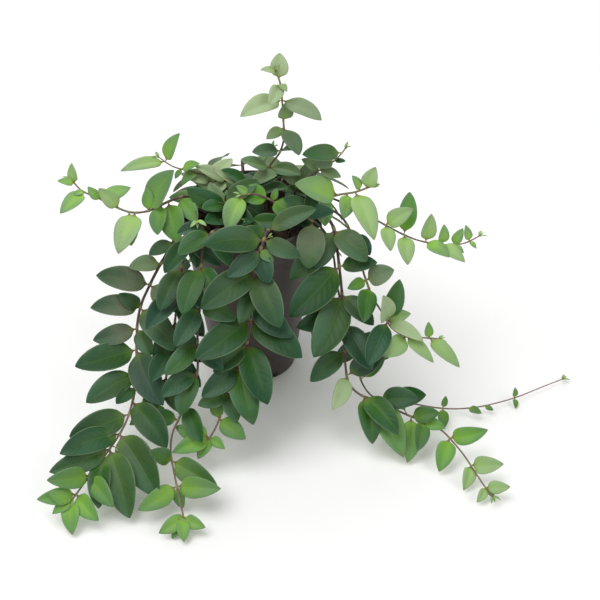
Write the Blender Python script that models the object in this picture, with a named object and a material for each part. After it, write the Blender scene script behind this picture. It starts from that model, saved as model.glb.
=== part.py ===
"""Potted lipstick plant: a plain plastic grower's pot, its soil, and one solid for each leafy shoot.

The origin is the middle of the pot's underside, +Z is up and the plant's front faces -Y.
"""
import math
import random

import bmesh
import bpy
from mathutils import Matrix, Vector, noise
from mathutils.bvhtree import BVHTree

MM = 0.001

# Driving dimensions of the pot, in millimetres
RIM_RADIUS = 65.0
POT_HEIGHT = 180.0
BASE_RADIUS = 41.5
COLLAR_HEIGHT = 24.0
COLLAR_STEP = 2.0
WALL = 1.8
FLOOR_THICK = 2.4
POT_SIDES = 32
SLOT_COUNT = 6
SLOT_SIZE = (7.0, 7.0, 3.4)
SLOT_REACH = 40.5
SLOT_MIDDLE = 5.2
DRAIN_COUNT = 4
DRAIN_RADIUS = 4.0
DRAIN_REACH = 21.0

# Soil
SOIL_GAP = 0.4
SOIL_EDGE = 162.0
SOIL_MIDDLE = 165.5
SOIL_SIDES = 16
HOLE_BOTTOM = 150.0
FOOT_TOP = 168.0

# Stems and leaves: a leaf is young under YOUNG_LENGTH, and has rings at these shares of its blade
STEM_SPACING = 16.0
STEM_BEVEL_RESOLUTION = 0
BLADE_THICK = 1.4
LEAF_RATIO = 0.53
YOUNG_RATIO = 0.64
YOUNG_LENGTH = 34.0
RING_PLACES = [(33.0, (0.14, 0.45, 0.77)), (18.0, (0.25, 0.68)), (0.0, (0.42,))]
FOOT_POWER = 0.6
TIP_POWER = 0.8
CURL = math.radians(26)
CLEARANCE = 0.4
GROUND_GAP = 0.5

# Leaf colours, from the oldest leaves to the youngest, and the grey-green of the upright shoot
TONES = {"dark": (0.032, 0.078, 0.048), "middle": (0.048, 0.150, 0.042),
         "fresh": (0.150, 0.340, 0.065), "pale": (0.230, 0.330, 0.190)}

# Leaf angles are given as seen from in front and above: a clock angle from upright, clockwise,
# and a lean out of that view's plane, towards the viewer.
VIEW_DIP = math.radians(37.4)
RIGHT = Vector((1, 0, 0))
RISE = Vector((0, math.sin(VIEW_DIP), math.cos(VIEW_DIP)))
NEAR = Vector((0, -math.cos(VIEW_DIP), math.sin(VIEW_DIP)))
USUAL_LEAN = 20

# Each shoot: where it leaves the soil, its thickness at the root and at the tip, the tone of its
# leaves, the points that its stem passes, and its leaves, node by node. A node is (place along the
# stem in percent, leaf, leaf, ...), and a leaf is (clock angle, length, lean, width ratio); the
# last two may be left out.
SHOOTS = [
    dict(name="shoot_trail_left", foot=(-36, -12), thick=(1.7, 0.8), tone="dark",
         way=[(-43, -16, 184), (-55, -20, 190), (-63, -28, 183), (-67, -37, 170), (-81, -51, 150),
              (-91, -57, 132), (-100, -70, 115), (-103, -81, 98), (-103, -97, 82), (-103, -127, 64),
              (-110, -156, 50), (-125, -181, 38), (-137, -198, 30), (-151, -218, 20)],
         nodes=[(20, (240, 26)), (27, (95, 28, 10, 0.85), (262, 30)), (34, (280, 50), (130, 42)),
                (41, (270, 46), (140, 54), (305, 26)), (47, (255, 42), (150, 30)),
                (53, (255, 58), (150, 62)), (60, (240, 52)), (64, (225, 26, 35)), (68, (140, 55)),
                (72, (250, 56)), (78, (145, 68), (250, 58, 20, 0.46)),
                (83, (160, 65), (250, 56, 20, 0.44)), (86, (180, 46)),
                (92, (135, 40), (270, 42, 40)), (98, (135, 32), (265, 34)),
                (100, (175, 30), (295, 24), (235, 20))]),
    dict(name="shoot_trail_front_left", foot=(-20, -34), thick=(1.6, 0.8), tone="middle",
         way=[(-25, -44, 184), (-33, -57, 188), (-39, -67, 182), (-41, -73, 168), (-43, -85, 136),
              (-46, -104, 105), (-46, -118, 82), (-53, -132, 62), (-63, -147, 48), (-69, -165, 38),
              (-65, -190, 28), (-60, -208, 20), (-54, -231, 12)],
         nodes=[(11, (235, 40, 30), (150, 36)), (22, (145, 32), (200, 48)), (34, (110, 38), (210, 44)),
                (45, (135, 36), (225, 42)), (54, (200, 42), (235, 40)), (64, (155, 38)),
                (69, (285, 28)), (82, (115, 48), (300, 28, 40)), (90, (90, 42), (240, 40), (165, 20)),
                (100, (110, 22), (240, 25), (175, 22), (210, 20), (285, 10))]),
    dict(name="shoot_trail_front", foot=(22, -30), thick=(1.6, 0.9), tone="dark",
         way=[(20, -42, 182), (16, -58, 190), (13, -69, 185), (8, -75, 170), (4, -84, 146),
              (2, -93, 122), (-1, -104, 104), (-9, -115, 84), (-19, -127, 66), (-27, -143, 44),
              (-36, -156, 32)],
         nodes=[(13, (66, 48, 10, 0.42), (245, 42, 30)), (19, (115, 38), (265, 55)),
                (23, (230, 40), (165, 32), (135, 18)),
                (32, (155, 57), (235, 60)), (38, (200, 36)), (44, (130, 50)),
                (51, (125, 60), (235, 62)), (60, (160, 60), (230, 40)), (69, (165, 57), (230, 45)),
                (80, (160, 30), (245, 30)), (91, (125, 32), (350, 22)),
                (99, (250, 37), (290, 33), (210, 22), (125, 18))]),
    dict(name="shoot_trail_right", foot=(47, -17), thick=(1.7, 0.7), tone="dark",
         way=[(54, -21, 184), (64, -26, 191), (73, -32, 187), (78, -43, 174), (81, -54, 155),
              (84, -65, 130), (86, -83, 100), (87, -95, 84), (89, -108, 64), (98, -113, 50),
              (118, -114, 42), (138, -120, 33), (159, -127, 28), (174, -133, 24), (192, -157, 18),
              (206, -186, 12), (215, -204, 9)],
         nodes=[(14, (205, 40, 10, 0.64), (135, 44, 20, 0.64)), (23, (225, 66), (85, 36)),
                (30, (205, 66), (135, 42)), (37, (265, 46), (150, 52)), (44, (230, 44), (60, 40, 40)),
                (50, (205, 36), (50, 46)), (57, (170, 46), (140, 50)),
                (61, (155, 57), (86, 38, 20, 0.66)), (70, (185, 43), (80, 27, 20, 0.7)),
                (73, (195, 34, 40), (105, 22), (150, 12)), (81, (75, 37), (200, 33)),
                (90, (85, 30), (200, 24)), (97, (85, 22), (215, 16), (140, 12))]),
    dict(name="shoot_runner_right", foot=(36, -27), thick=(1.3, 0.5), tone="middle",
         way=[(44, -31, 183), (56, -37, 190), (66, -40, 182), (72, -41, 170), (77, -40, 150),
              (81, -51, 122), (89, -57, 92), (97, -70, 66), (102, -85, 48), (110, -99, 36),
              (131, -98, 28), (154, -97, 22), (170, -96, 17), (193, -93, 12), (216, -87, 9),
              (238, -78, 7), (259, -68, 6), (286, -52, 5), (305, -42, 5)],
         nodes=[(8, (185, 44, 10, 0.7)), (14, (225, 50)),
                (28, (215, 48), (205, 34, 50)), (40, (105, 34, 5), (240, 36, 50)),
                (47, (35, 40, 10, 0.46)), (56, (80, 34, 20, 0.66)), (68, (180, 20), (15, 12, 0)),
                (74, (110, 14)),
                (78, (115, 10)), (86, (0, 11), (180, 11))]),
    dict(name="shoot_trail_right_mid", foot=(52, -5), thick=(1.4, 0.7), tone="middle",
         way=[(60, -12, 186), (74, -19, 189), (87, -28, 182), (96, -45, 168), (104, -61, 146),
              (112, -74, 130), (123, -88, 118), (131, -97, 110), (143, -98, 104), (164, -92, 98),
              (173, -91, 96)],
         nodes=[(28, (170, 36)), (32, (135, 26)), (53, (245, 20), (70, 28, 20, 0.8)),
                (56, (190, 40, 35)),
                (73, (15, 41), (205, 46, 20), (120, 38, 20, 0.42), (70, 22), (335, 38, 35, 0.6)),
                (84, (230, 30, 20, 0.7), (135, 35, 20, 0.42)), (95, (135, 39, 20, 0.44), (355, 16))]),
    dict(name="shoot_arch_right", foot=(50, 7), thick=(1.2, 0.6), tone="fresh",
         way=[(58, 4, 184), (69, -1, 191), (86, -13, 192), (109, -29, 188), (137, -35, 174),
              (158, -36, 165), (174, -35, 162), (188, -31, 158), (200, -25, 157), (212, -19, 160)],
         nodes=[(50, (60, 30), (170, 26)), (60, (10, 39), (175, 30)), (71, (10, 27), (125, 27)),
                (79, (5, 19), (130, 28)), (85, (30, 18), (130, 13)), (94, (345, 16), (140, 10))]),
    dict(name="shoot_arch_left", foot=(-30, 5), thick=(1.5, 0.7), tone="fresh",
         way=[(-38, 0, 185), (-52, -8, 196), (-65, -15, 199), (-76, -19, 196), (-90, -22, 190),
              (-102, -22, 187), (-118, -18, 189), (-136, -12, 196), (-152, -7, 201),
              (-164, 4, 208)],
         nodes=[(21, (275, 25)), (31, (145, 30)), (38, (165, 39, 10, 0.74)), (42, (185, 30)),
                (50, (35, 46, 20, 0.66), (0, 22)), (57, (200, 44, 20, 0.66)),
                (61, (175, 32, 10, 0.74)), (67, (315, 26)), (78, (55, 29), (315, 17)),
                (88, (225, 31), (250, 12)), (96, (355, 19), (275, 16))]),
    dict(name="shoot_twig_top_left", foot=(-3, 34), thick=(1.1, 0.6), tone="middle",
         way=[(-11, 31, 180), (-23, 28, 190), (-38, 27, 196), (-51, 28, 200), (-66, 28, 203),
              (-77, 31, 207), (-86, 35, 212)],
         nodes=[(30, (290, 35), (230, 26)), (60, (230, 20)), (75, (85, 21), (210, 12)),
                (92, (255, 44, 20, 0.42), (30, 31))]),
    dict(name="shoot_upright", foot=(17, 22), thick=(1.3, 0.7), tone="pale",
         way=[(14, 17, 190), (18, 14, 214), (25, 15, 224), (31, 14, 238), (31, 17, 254),
              (31, 19, 270), (29, 23, 283), (29, 22, 295), (25, 22, 307)],
         nodes=[(32, (280, 34, 40), (105, 32)), (46, (265, 27), (95, 28, 50)),
                (62, (155, 33), (235, 20)), (67, (5, 18, 20, 0.95)), (80, (120, 43), (245, 43)),
                (91, (205, 24), (145, 14, 40)), (94, (5, 23, 20, 0.85)), (99, (275, 15))]),
    dict(name="shoot_twig_top_right", foot=(36, 17), thick=(1.1, 0.6), tone="middle",
         way=[(42, 7, 192), (51, 4, 206), (64, 2, 218), (77, 1, 228), (82, 5, 236), (87, 3, 240)],
         nodes=[(35, (330, 31), (35, 34)), (65, (300, 20), (110, 22)),
                (83, (250, 18, 10, 0.8), (95, 11)), (94, (265, 38))]),
    dict(name="shoot_arch_right_top", foot=(35, -6), thick=(1.4, 0.8), tone="fresh",
         way=[(44, -12, 185), (57, -16, 194), (68, -14, 197), (81, -10, 199), (91, -9, 200),
              (102, -7, 202), (111, -5, 205)],
         nodes=[(50, (180, 30)), (66, (300, 45, 20, 0.7)), (75, (190, 25, 10, 0.7)),
                (83, (160, 51)), (88, (330, 16)), (94, (25, 22, 20, 0.8)), (99, (75, 9))]),
    dict(name="shoot_twig_front", foot=(28, 6), thick=(1.2, 0.8), tone="fresh",
         way=[(27, -6, 184), (19, -14, 196), (8, -15, 202), (-1, -15, 205), (-8, -21, 206)],
         nodes=[(50, (125, 24, 10, 0.9), (20, 13)), (56, (283, 28, -5, 0.82)),
                (97, (200, 37, 10, 0.62)), (88, (305, 14))]),
    dict(name="shoot_crown_right", foot=(34, -17), thick=(1.2, 0.9), tone="dark",
         way=[(41, -22, 181), (50, -25, 189), (56, -25, 191)],
         nodes=[(42, (195, 30, 40), (140, 34, 40)), (70, (325, 24, 0)), (89, (85, 34), (20, 24)),
                (99, (295, 28, 10))]),
    dict(name="shoot_crown_left", foot=(-13, -12), thick=(1.2, 0.9), tone="middle",
         way=[(-18, -16, 182), (-23, -15, 192)],
         nodes=[(38, (110, 42, 35), (235, 40, 40)), (80, (105, 36, 10), (290, 42)),
                (100, (55, 38, 0), (250, 28, 40), (325, 24, 0))]),
    dict(name="shoot_crown_front", foot=(4, -22), thick=(1.2, 0.9), tone="middle",
         way=[(2, -30, 181), (-2, -38, 189)],
         nodes=[(42, (270, 42, 30)), (82, (125, 34, 0), (235, 42)),
                (100, (285, 30, 10), (165, 26, 50))]),
    dict(name="shoot_trail_inner_left", foot=(-30, -25), thick=(1.5, 0.8), tone="dark",
         way=[(-36, -36, 184), (-45, -48, 189), (-52, -57, 181), (-58, -63, 165),
              (-64, -72, 135), (-68, -84, 105), (-72, -98, 80), (-78, -114, 60), (-85, -130, 47)],
         nodes=[(13, (240, 34, 30), (190, 40)), (23, (215, 40), (130, 36)), (36, (205, 46), (140, 44)),
                (48, (215, 48), (150, 46)), (61, (205, 48), (145, 46)), (74, (200, 46), (140, 44)),
                (86, (210, 42), (150, 40)), (97, (180, 36), (230, 34))]),
    dict(name="shoot_crown_middle", foot=(4, 13), thick=(1.2, 0.8), tone="middle",
         way=[(1, 11, 186), (-1, 9, 198)],
         nodes=[(50, (80, 42, 35), (250, 40, 35), (170, 34, 50)), (89, (50, 36), (295, 38)),
                (100, (285, 32, 40), (65, 32, 40))]),
    # Shoots behind the pot, with opposite leaves at even steps
    dict(name="shoot_back_left", foot=(-26, 36), thick=(1.5, 0.8), tone="dark",
         way=[(-30, 47, 184), (-36, 58, 188), (-42, 69, 178), (-47, 81, 150), (-50, 92, 110),
              (-51, 104, 70), (-53, 120, 34), (-56, 144, 14), (-58, 170, 9)],
         pairs=(16, 97, 7, 46, 26)),
    dict(name="shoot_back_middle", foot=(-8, 48), thick=(1.5, 0.8), tone="middle",
         way=[(-9, 57, 185), (-10, 68, 188), (-10, 79, 176), (-9, 92, 145), (-8, 102, 105),
              (-8, 114, 62), (-8, 132, 28), (-9, 160, 12), (-10, 186, 8)],
         pairs=(17, 97, 7, 48, 24)),
    dict(name="shoot_back_right", foot=(16, 44), thick=(1.5, 0.8), tone="dark",
         way=[(22, 53, 184), (28, 63, 188), (33, 73, 177), (37, 86, 146), (40, 96, 104),
              (42, 108, 60), (45, 126, 27), (48, 150, 12), (50, 172, 9)],
         pairs=(18, 97, 7, 46, 25)),
    dict(name="shoot_back_side", foot=(38, 34), thick=(1.3, 0.8), tone="middle",
         way=[(44, 40, 184), (51, 47, 189), (58, 53, 180), (63, 59, 158), (66, 66, 128),
              (68, 74, 98), (70, 84, 72)],
         pairs=(22, 97, 5, 40, 22)),
    # Short shoots that close the crown at the back
    dict(name="shoot_crown_back_left", foot=(-24, 18), thick=(1.2, 0.8), tone="pale",
         way=[(-29, 22, 182), (-37, 28, 190)],
         nodes=[(40, (60, 38, 35), (250, 40, 20)), (72, (300, 34, 5, 0.6), (95, 40, 30, 0.45)),
                (98, (285, 30, 20, 0.6), (40, 34, 5, 0.62), (70, 36, 30))]),
    dict(name="shoot_crown_back_right", foot=(26, 30), thick=(1.2, 0.8), tone="middle",
         way=[(28, 36, 182), (32, 44, 191)],
         nodes=[(40, (115, 44, 30, 0.45), (280, 42, 20)), (70, (75, 32, 0), (330, 24, 0)),
                (98, (130, 40, 40, 0.5), (290, 32, 10))]),
]


def catmull(points, steps):
    """A smooth curve through the given points."""
    ends = [2 * points[0] - points[1]] + points + [2 * points[-1] - points[-2]]
    curve = []
    for p0, p1, p2, p3 in zip(ends, ends[1:], ends[2:], ends[3:]):
        for k in range(steps):
            t = k / steps
            curve.append(0.5 * (2 * p1 + (p2 - p0) * t + (2 * p0 - 5 * p1 + 4 * p2 - p3) * t * t
                                + (3 * p1 - p0 - 3 * p2 + p3) * t ** 3))
    curve.append(points[-1].copy())
    return curve


def along(points, distance):
    """The point and the direction at a distance along a chain of points."""
    for a, b in zip(points, points[1:]):
        step = (b - a).length
        if distance <= step:
            return a.lerp(b, distance / step), (b - a).normalized()
        distance -= step
    return points[-1].copy(), (points[-1] - points[-2]).normalized()


def length_of(points):
    return sum((b - a).length for a, b in zip(points, points[1:]))


def stem_chain(shoot):
    """Even points along a stem, from the top of its foot to its tip."""
    foot = Vector((*shoot["foot"], FOOT_TOP))
    curve = catmull([foot] + [Vector(p) for p in shoot["way"]], 12)
    total = length_of(curve)
    count = max(3, round(total / STEM_SPACING))
    return [along(curve, total * k / count)[0] for k in range(count + 1)]


def clock(angle, lean):
    """A direction from its clock angle and lean, as seen from the viewpoint."""
    a, b = math.radians(angle), math.radians(lean)
    return (RIGHT * math.sin(a) + RISE * math.cos(a)) * math.cos(b) + NEAR * math.sin(b)


def usual_ratio(length):
    """A leaf's width as a share of its length: young leaves are rounder."""
    return LEAF_RATIO if length >= YOUNG_LENGTH else YOUNG_RATIO


def wanted_leaves(shoot, chain, rng):
    """The leaves of one shoot, as [root point, direction, light, length, width ratio]."""
    total = length_of(chain)
    leaves = []
    for place, *blades in shoot.get("nodes", []):
        root, _ = along(chain, total * place / 100)
        outward = Vector((root.x, root.y, 0)).normalized()
        light = NEAR * 0.75 + Vector((0, 0, 0.45)) + outward * 0.3
        for angle, length, *rest in blades:
            lean = rest[0] if rest else USUAL_LEAN
            ratio = rest[1] if len(rest) > 1 else usual_ratio(length)
            leaves.append([root, clock(angle, lean), light, length, ratio])
    if "pairs" in shoot:
        first, last, count, big, small = shoot["pairs"]
        for k in range(count):
            share = k / (count - 1)
            root, ahead = along(chain, total * (first + (last - first) * share) / 100)
            outward = Vector((root.x, root.y, 0)).normalized()
            side = ahead.cross(outward * 0.6 + Vector((0, 0, 1))).normalized()
            length = big + (small - big) * share ** 1.5
            for sign in (1, -1):
                lift = 0.35 if (k + (sign > 0)) % 2 else -0.1
                way = side * sign * 0.85 + ahead * 0.5 + outward * lift + Vector((0, 0, -0.15))
                jitter = Vector([rng.uniform(-0.14, 0.14) for _ in range(3)])
                light = Vector((0, 0, 0.8)) + outward * 0.7
                leaves.append([root, way.normalized() + jitter, light,
                               length * rng.uniform(0.9, 1.08), usual_ratio(length)])
    return leaves


def blade_half(t):
    """Half the width of a blade whose full width is 1, from its foot (0) to its tip (1)."""
    widest = FOOT_POWER / (FOOT_POWER + TIP_POWER)
    return 0.5 * (t / widest) ** FOOT_POWER * ((1 - t) / (1 - widest)) ** TIP_POWER


def leaf_rings(root, direction, light, length, ratio, thin, grow=0.0):
    """Three-cornered rings of a leaf (two edges and a keel) from its root in the stem, and its tip."""
    d = direction.normalized()
    n = (light - d * light.dot(d)).normalized()
    side = d.cross(n)
    stalk = min(4.5, max(1.6, 0.1 * length))
    blade = length - stalk
    places = next(rings for least, rings in RING_PLACES if length >= least)
    radius = length / (2 * math.sin(CURL / 2))

    def spine(t):
        a = CURL * (t - 0.5)
        middle = root + d * (radius * (math.sin(a) + math.sin(CURL / 2)))
        middle = middle + n * (radius * (math.cos(a) - math.cos(CURL / 2)))
        return middle, n * math.cos(a) + d * math.sin(a)

    rings = []
    small = thin * 0.5 + grow
    middle, up = spine(0.0)
    rings.append([middle - side * small + up * small, middle + side * small + up * small,
                  middle - up * small])
    for place in places:
        t = (stalk + place * blade) / length
        middle, up = spine(t)
        half = blade * ratio * blade_half(place) + grow
        thick = up * (BLADE_THICK * 0.5 + grow)
        rings.append([middle - side * half + thick, middle + side * half + thick, middle - thick])
    tip, _ = spine(1.0)
    return rings, tip + d * grow * 2


def loft(rings, tip):
    """Points and faces of a closed skin over three-cornered rings and a tip."""
    points = [p for ring in rings for p in ring] + [tip]
    faces = [(0, 1, 2)]
    for k in range(len(rings) - 1):
        for i in range(3):
            a, b = 3 * k + i, 3 * k + (i + 1) % 3
            faces += [(a, a + 3, b + 3), (a, b + 3, b)]
    last, end = 3 * (len(rings) - 1), len(points) - 1
    faces += [(last + i, end, last + (i + 1) % 3) for i in range(3)]
    return points, faces


def mesh_object(name, points, faces):
    mesh = bpy.data.meshes.new(name)
    mesh.from_pydata([p * MM for p in points], [], faces)
    mesh.update()
    shell = bmesh.new()
    shell.from_mesh(mesh)
    bmesh.ops.recalc_face_normals(shell, faces=shell.faces)
    shell.to_mesh(mesh)
    shell.free()
    obj = bpy.data.objects.new(name, mesh)
    bpy.context.scene.collection.objects.link(obj)
    return obj


def stem_object(shoot):
    """A stem with its straight foot, as a bevelled curve that gets thinner, turned into a mesh."""
    name = shoot["name"]
    chain = stem_chain(shoot)
    thick, thin = shoot["thick"]
    whole = [Vector((*shoot["foot"], HOLE_BOTTOM + 0.3))] + chain
    shares = [0.0] + [k / (len(chain) - 1) for k in range(len(chain))]
    radii = [thick + (thin - thick) * share ** 0.8 for share in shares]
    data = bpy.data.curves.new(name, "CURVE")
    data.dimensions = "3D"
    data.bevel_depth = 1.0 * MM
    data.bevel_resolution = STEM_BEVEL_RESOLUTION
    data.use_fill_caps = True
    spline = data.splines.new("POLY")
    spline.points.add(len(whole) - 1)
    for point, place, radius in zip(spline.points, whole, radii):
        point.co = (*(place * MM), 1)
        point.radius = radius
    guide = bpy.data.objects.new(name + "_guide", data)
    bpy.context.scene.collection.objects.link(guide)
    bpy.context.view_layer.update()
    mesh = bpy.data.meshes.new_from_object(guide.evaluated_get(bpy.context.evaluated_depsgraph_get()))
    bpy.data.objects.remove(guide)
    shell = bmesh.new()
    shell.from_mesh(mesh)
    bmesh.ops.remove_doubles(shell, verts=shell.verts, dist=1e-6)
    bmesh.ops.triangulate(shell, faces=shell.faces)
    bmesh.ops.recalc_face_normals(shell, faces=shell.faces)
    shell.to_mesh(mesh)
    shell.free()
    obj = bpy.data.objects.new(name, mesh)
    bpy.context.scene.collection.objects.link(obj)
    return obj


def skin_of(obj):
    """A search tree of an object's mesh, in millimetres."""
    points = [v.co / MM for v in obj.data.vertices]
    faces = [tuple(p.vertices) for p in obj.data.polygons]
    return BVHTree.FromPolygons(points, faces)


def lathe(name, outline, sides, closed):
    """A turned solid from (radius, height) points, given down the outside from the top."""
    bm = bmesh.new()
    verts = [bm.verts.new((r * MM, 0, z * MM)) for r, z in outline]
    edges = [bm.edges.new(pair) for pair in zip(verts, verts[1:])]
    if closed:
        edges.append(bm.edges.new((verts[-1], verts[0])))
    bmesh.ops.spin(bm, geom=verts + edges, cent=(0, 0, 0), axis=(0, 0, 1), angle=2 * math.pi,
                   steps=sides, use_merge=True)
    bmesh.ops.remove_doubles(bm, verts=bm.verts, dist=2e-6)
    bmesh.ops.triangulate(bm, faces=[f for f in bm.faces if len(f.verts) > 4])
    bmesh.ops.recalc_face_normals(bm, faces=bm.faces)
    mesh = bpy.data.meshes.new(name)
    bm.to_mesh(mesh)
    bm.free()
    obj = bpy.data.objects.new(name, mesh)
    bpy.context.scene.collection.objects.link(obj)
    return obj


def boolean(obj, operation, name, solver, others):
    """Join or cut one object with a set of others, then drop them."""
    group = bpy.data.collections.new(name)
    bpy.context.scene.collection.children.link(group)
    for other in others:
        bpy.context.scene.collection.objects.unlink(other)
        group.objects.link(other)
    modifier = obj.modifiers.new(name, "BOOLEAN")
    modifier.operation = operation
    modifier.solver = solver
    modifier.operand_type = "COLLECTION"
    modifier.collection = group
    bpy.context.view_layer.update()
    mesh = bpy.data.meshes.new_from_object(obj.evaluated_get(bpy.context.evaluated_depsgraph_get()))
    obj.modifiers.clear()
    obj.data = mesh
    for other in list(group.objects):
        bpy.data.objects.remove(other)
    bpy.data.collections.remove(group)


def material(name, colour, roughness):
    made = bpy.data.materials.new(name)
    made.use_nodes = True
    shader = made.node_tree.nodes["Principled BSDF"]
    shader.inputs["Base Color"].default_value = (*colour, 1)
    shader.inputs["Roughness"].default_value = roughness
    shader.inputs["Metallic"].default_value = 0.0
    return made


def cutter(name, bm):
    """A shape that only cuts, and is never drawn itself."""
    mesh = bpy.data.meshes.new(name)
    bm.to_mesh(mesh)
    bm.free()
    obj = bpy.data.objects.new(name, mesh)
    obj.hide_render = True
    obj.display_type = "WIRE"
    bpy.context.scene.collection.objects.link(obj)
    return obj


def prism(name, radius, low, high, place, sides):
    """An upright prism, used to cut round holes."""
    bm = bmesh.new()
    bmesh.ops.create_cone(bm, cap_ends=True, segments=sides, radius1=radius * MM,
                          radius2=radius * MM, depth=(high - low) * MM)
    bmesh.ops.translate(bm, vec=Vector((place[0], place[1], (low + high) / 2)) * MM, verts=bm.verts)
    return cutter(name, bm)


def make_pot():
    """The pot, with drain holes in its floor and slots at its foot, and its skin before the cuts."""
    step = POT_HEIGHT - COLLAR_HEIGHT
    body = RIM_RADIUS - 1.2 - COLLAR_STEP
    outline = [
        (RIM_RADIUS - 1.4, POT_HEIGHT), (RIM_RADIUS, POT_HEIGHT - 0.9),
        (RIM_RADIUS - 1.2, step), (body, step - 1.2), (BASE_RADIUS, 3.5), (BASE_RADIUS - 1.5, 0.6),
        (BASE_RADIUS - 2.6, 0.0), (0.0, 0.0), (0.0, FLOOR_THICK),
        (BASE_RADIUS - WALL - 1.2, FLOOR_THICK), (BASE_RADIUS - WALL, FLOOR_THICK + 2.0),
        (body - WALL, step - 1.5), (RIM_RADIUS - 1.2 - WALL, step + 2.2),
        (RIM_RADIUS - WALL - 0.2, POT_HEIGHT - 0.6),
    ]
    pot = lathe("pot", outline, POT_SIDES, True)
    skin = skin_of(pot)
    cutters = []
    for k in range(SLOT_COUNT):
        turn = 2 * math.pi * (k - 1) / SLOT_COUNT
        centre = Vector((SLOT_REACH * math.cos(turn), SLOT_REACH * math.sin(turn), SLOT_MIDDLE))
        bm = bmesh.new()
        bmesh.ops.create_cube(bm, size=1)
        bmesh.ops.scale(bm, vec=Vector(SLOT_SIZE) * MM, verts=bm.verts)
        bmesh.ops.rotate(bm, cent=(0, 0, 0), matrix=Matrix.Rotation(turn, 3, "Z"), verts=bm.verts)
        bmesh.ops.translate(bm, vec=centre * MM, verts=bm.verts)
        cutters.append(cutter(f"slot_cutter_{k}", bm))
    for k in range(DRAIN_COUNT):
        turn = 2 * math.pi * (k + 0.5) / DRAIN_COUNT
        place = (DRAIN_REACH * math.cos(turn), DRAIN_REACH * math.sin(turn))
        cutters.append(prism(f"drain_cutter_{k}", DRAIN_RADIUS, -2.0, FLOOR_THICK + 0.15, place, 12))
    boolean(pot, "DIFFERENCE", "drains", "EXACT", cutters)
    return pot, skin


def make_soil():
    """The soil, which fills the pot, with a plain hole for each stem, and its skin without them."""
    step = POT_HEIGHT - COLLAR_HEIGHT
    body = RIM_RADIUS - 1.2 - COLLAR_STEP - WALL - SOIL_GAP
    neck = RIM_RADIUS - 1.2 - WALL - SOIL_GAP
    low = FLOOR_THICK + 0.35
    outline = [(0.0, SOIL_MIDDLE), (12.0, SOIL_MIDDLE), (26.0, SOIL_MIDDLE - 0.6),
               (40.0, SOIL_MIDDLE - 1.6), (52.0, SOIL_EDGE + 1.0), (neck - 0.2, SOIL_EDGE - 1.0),
               (neck - 0.3, step + 2.4), (body, step - 1.4),
               (BASE_RADIUS - WALL - SOIL_GAP - 0.4, low + 2.4),
               (BASE_RADIUS - WALL - 2.2, low), (0.0, low)]
    soil = lathe("soil", outline, SOIL_SIDES, False)
    for vertex in soil.data.vertices:
        reach = math.hypot(vertex.co.x, vertex.co.y) / MM
        if vertex.co.z / MM > SOIL_EDGE - 0.5 and reach < neck - 4:
            vertex.co.z += 0.9 * MM * noise.noise(vertex.co / MM * 0.09)
    skin = skin_of(soil)
    cutters = []
    for shoot in SHOOTS:
        radius = (shoot["thick"][0] + 0.35) / math.cos(math.pi / 6)
        cutters.append(prism("hole_" + shoot["name"], radius, HOLE_BOTTOM, 175.0, shoot["foot"], 6))
    boolean(soil, "DIFFERENCE", "stem_holes", "EXACT", cutters)
    return soil, skin


class Shell:
    """A leaf's skin and the skin of its blade alone, with the box that they fill."""

    def __init__(self, owner, rings, tip):
        points, faces = loft(rings, tip)
        self.owner = owner
        self.low = [min(p[i] for p in points) for i in range(3)]
        self.high = [max(p[i] for p in points) for i in range(3)]
        self.lowest = min(p.z for p in points[3:])
        self.whole = BVHTree.FromPolygons(points, faces)
        self.blade = BVHTree.FromPolygons(*loft(rings[1:], tip))

    def meets(self, other):
        """Leaves of one shoot may cross at their stalks, and others not at all."""
        if any(self.low[i] > other.high[i] or other.low[i] > self.high[i] for i in range(3)):
            return False
        if self.owner == other.owner:
            return bool(self.blade.overlap(other.blade))
        return bool(self.whole.overlap(other.whole))


def has_room(shell, fixed, stem_skins, placed):
    """Whether a leaf is clear of the surface below, the pot, the soil, the stems and other leaves."""
    if shell.lowest < GROUND_GAP or any(shell.whole.overlap(skin) for skin in fixed):
        return False
    for owner, skin in stem_skins.items():
        tree = shell.blade if owner == shell.owner else shell.whole
        if tree.overlap(skin):
            return False
    return not any(shell.meets(other) for other in placed)


def settle(leaf, shoot, fixed, stem_skins, placed):
    """The nearest turn from a leaf's wanted direction, and the largest size, at which it has room."""
    root, wanted, light, length, ratio = leaf
    wanted = wanted.normalized()
    normal = (light - wanted * light.dot(wanted)).normalized()
    across = wanted.cross(normal)
    turns = sorted(((a, b) for a in range(-36, 37, 6) for b in range(-30, 49, 6)),
                   key=lambda ab: abs(ab[0]) * 1.25 + abs(ab[1]) + 0.01 * ab[1])
    thin = shoot["thick"][1]
    for scale in (1.0, 0.88, 0.76, 0.64):
        for aside, bent in turns:
            turned = Matrix.Rotation(math.radians(aside), 3, normal) @ wanted
            turned = Matrix.Rotation(math.radians(bent), 3, across) @ turned
            rings, tip = leaf_rings(root, turned, light, length * scale, ratio, thin, CLEARANCE)
            if has_room(Shell(shoot["name"], rings, tip), fixed, stem_skins, placed):
                return root, turned, light, length * scale, ratio, thin
    print("no room for a leaf on", shoot["name"], round(length))
    return None


def settled_leaves(fixed, stem_skins):
    """The rings and tip of each leaf of each shoot, once it is clear of all that is there."""
    rng = random.Random(11)
    placed = []
    leaves = {}
    for shoot in SHOOTS:
        leaves[shoot["name"]] = []
        for leaf in wanted_leaves(shoot, stem_chain(shoot), rng):
            found = settle(leaf, shoot, fixed, stem_skins, placed)
            if found:
                rings, tip = leaf_rings(*found)
                placed.append(Shell(shoot["name"], rings, tip))
                leaves[shoot["name"]].append((rings, tip))
    return leaves


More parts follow.
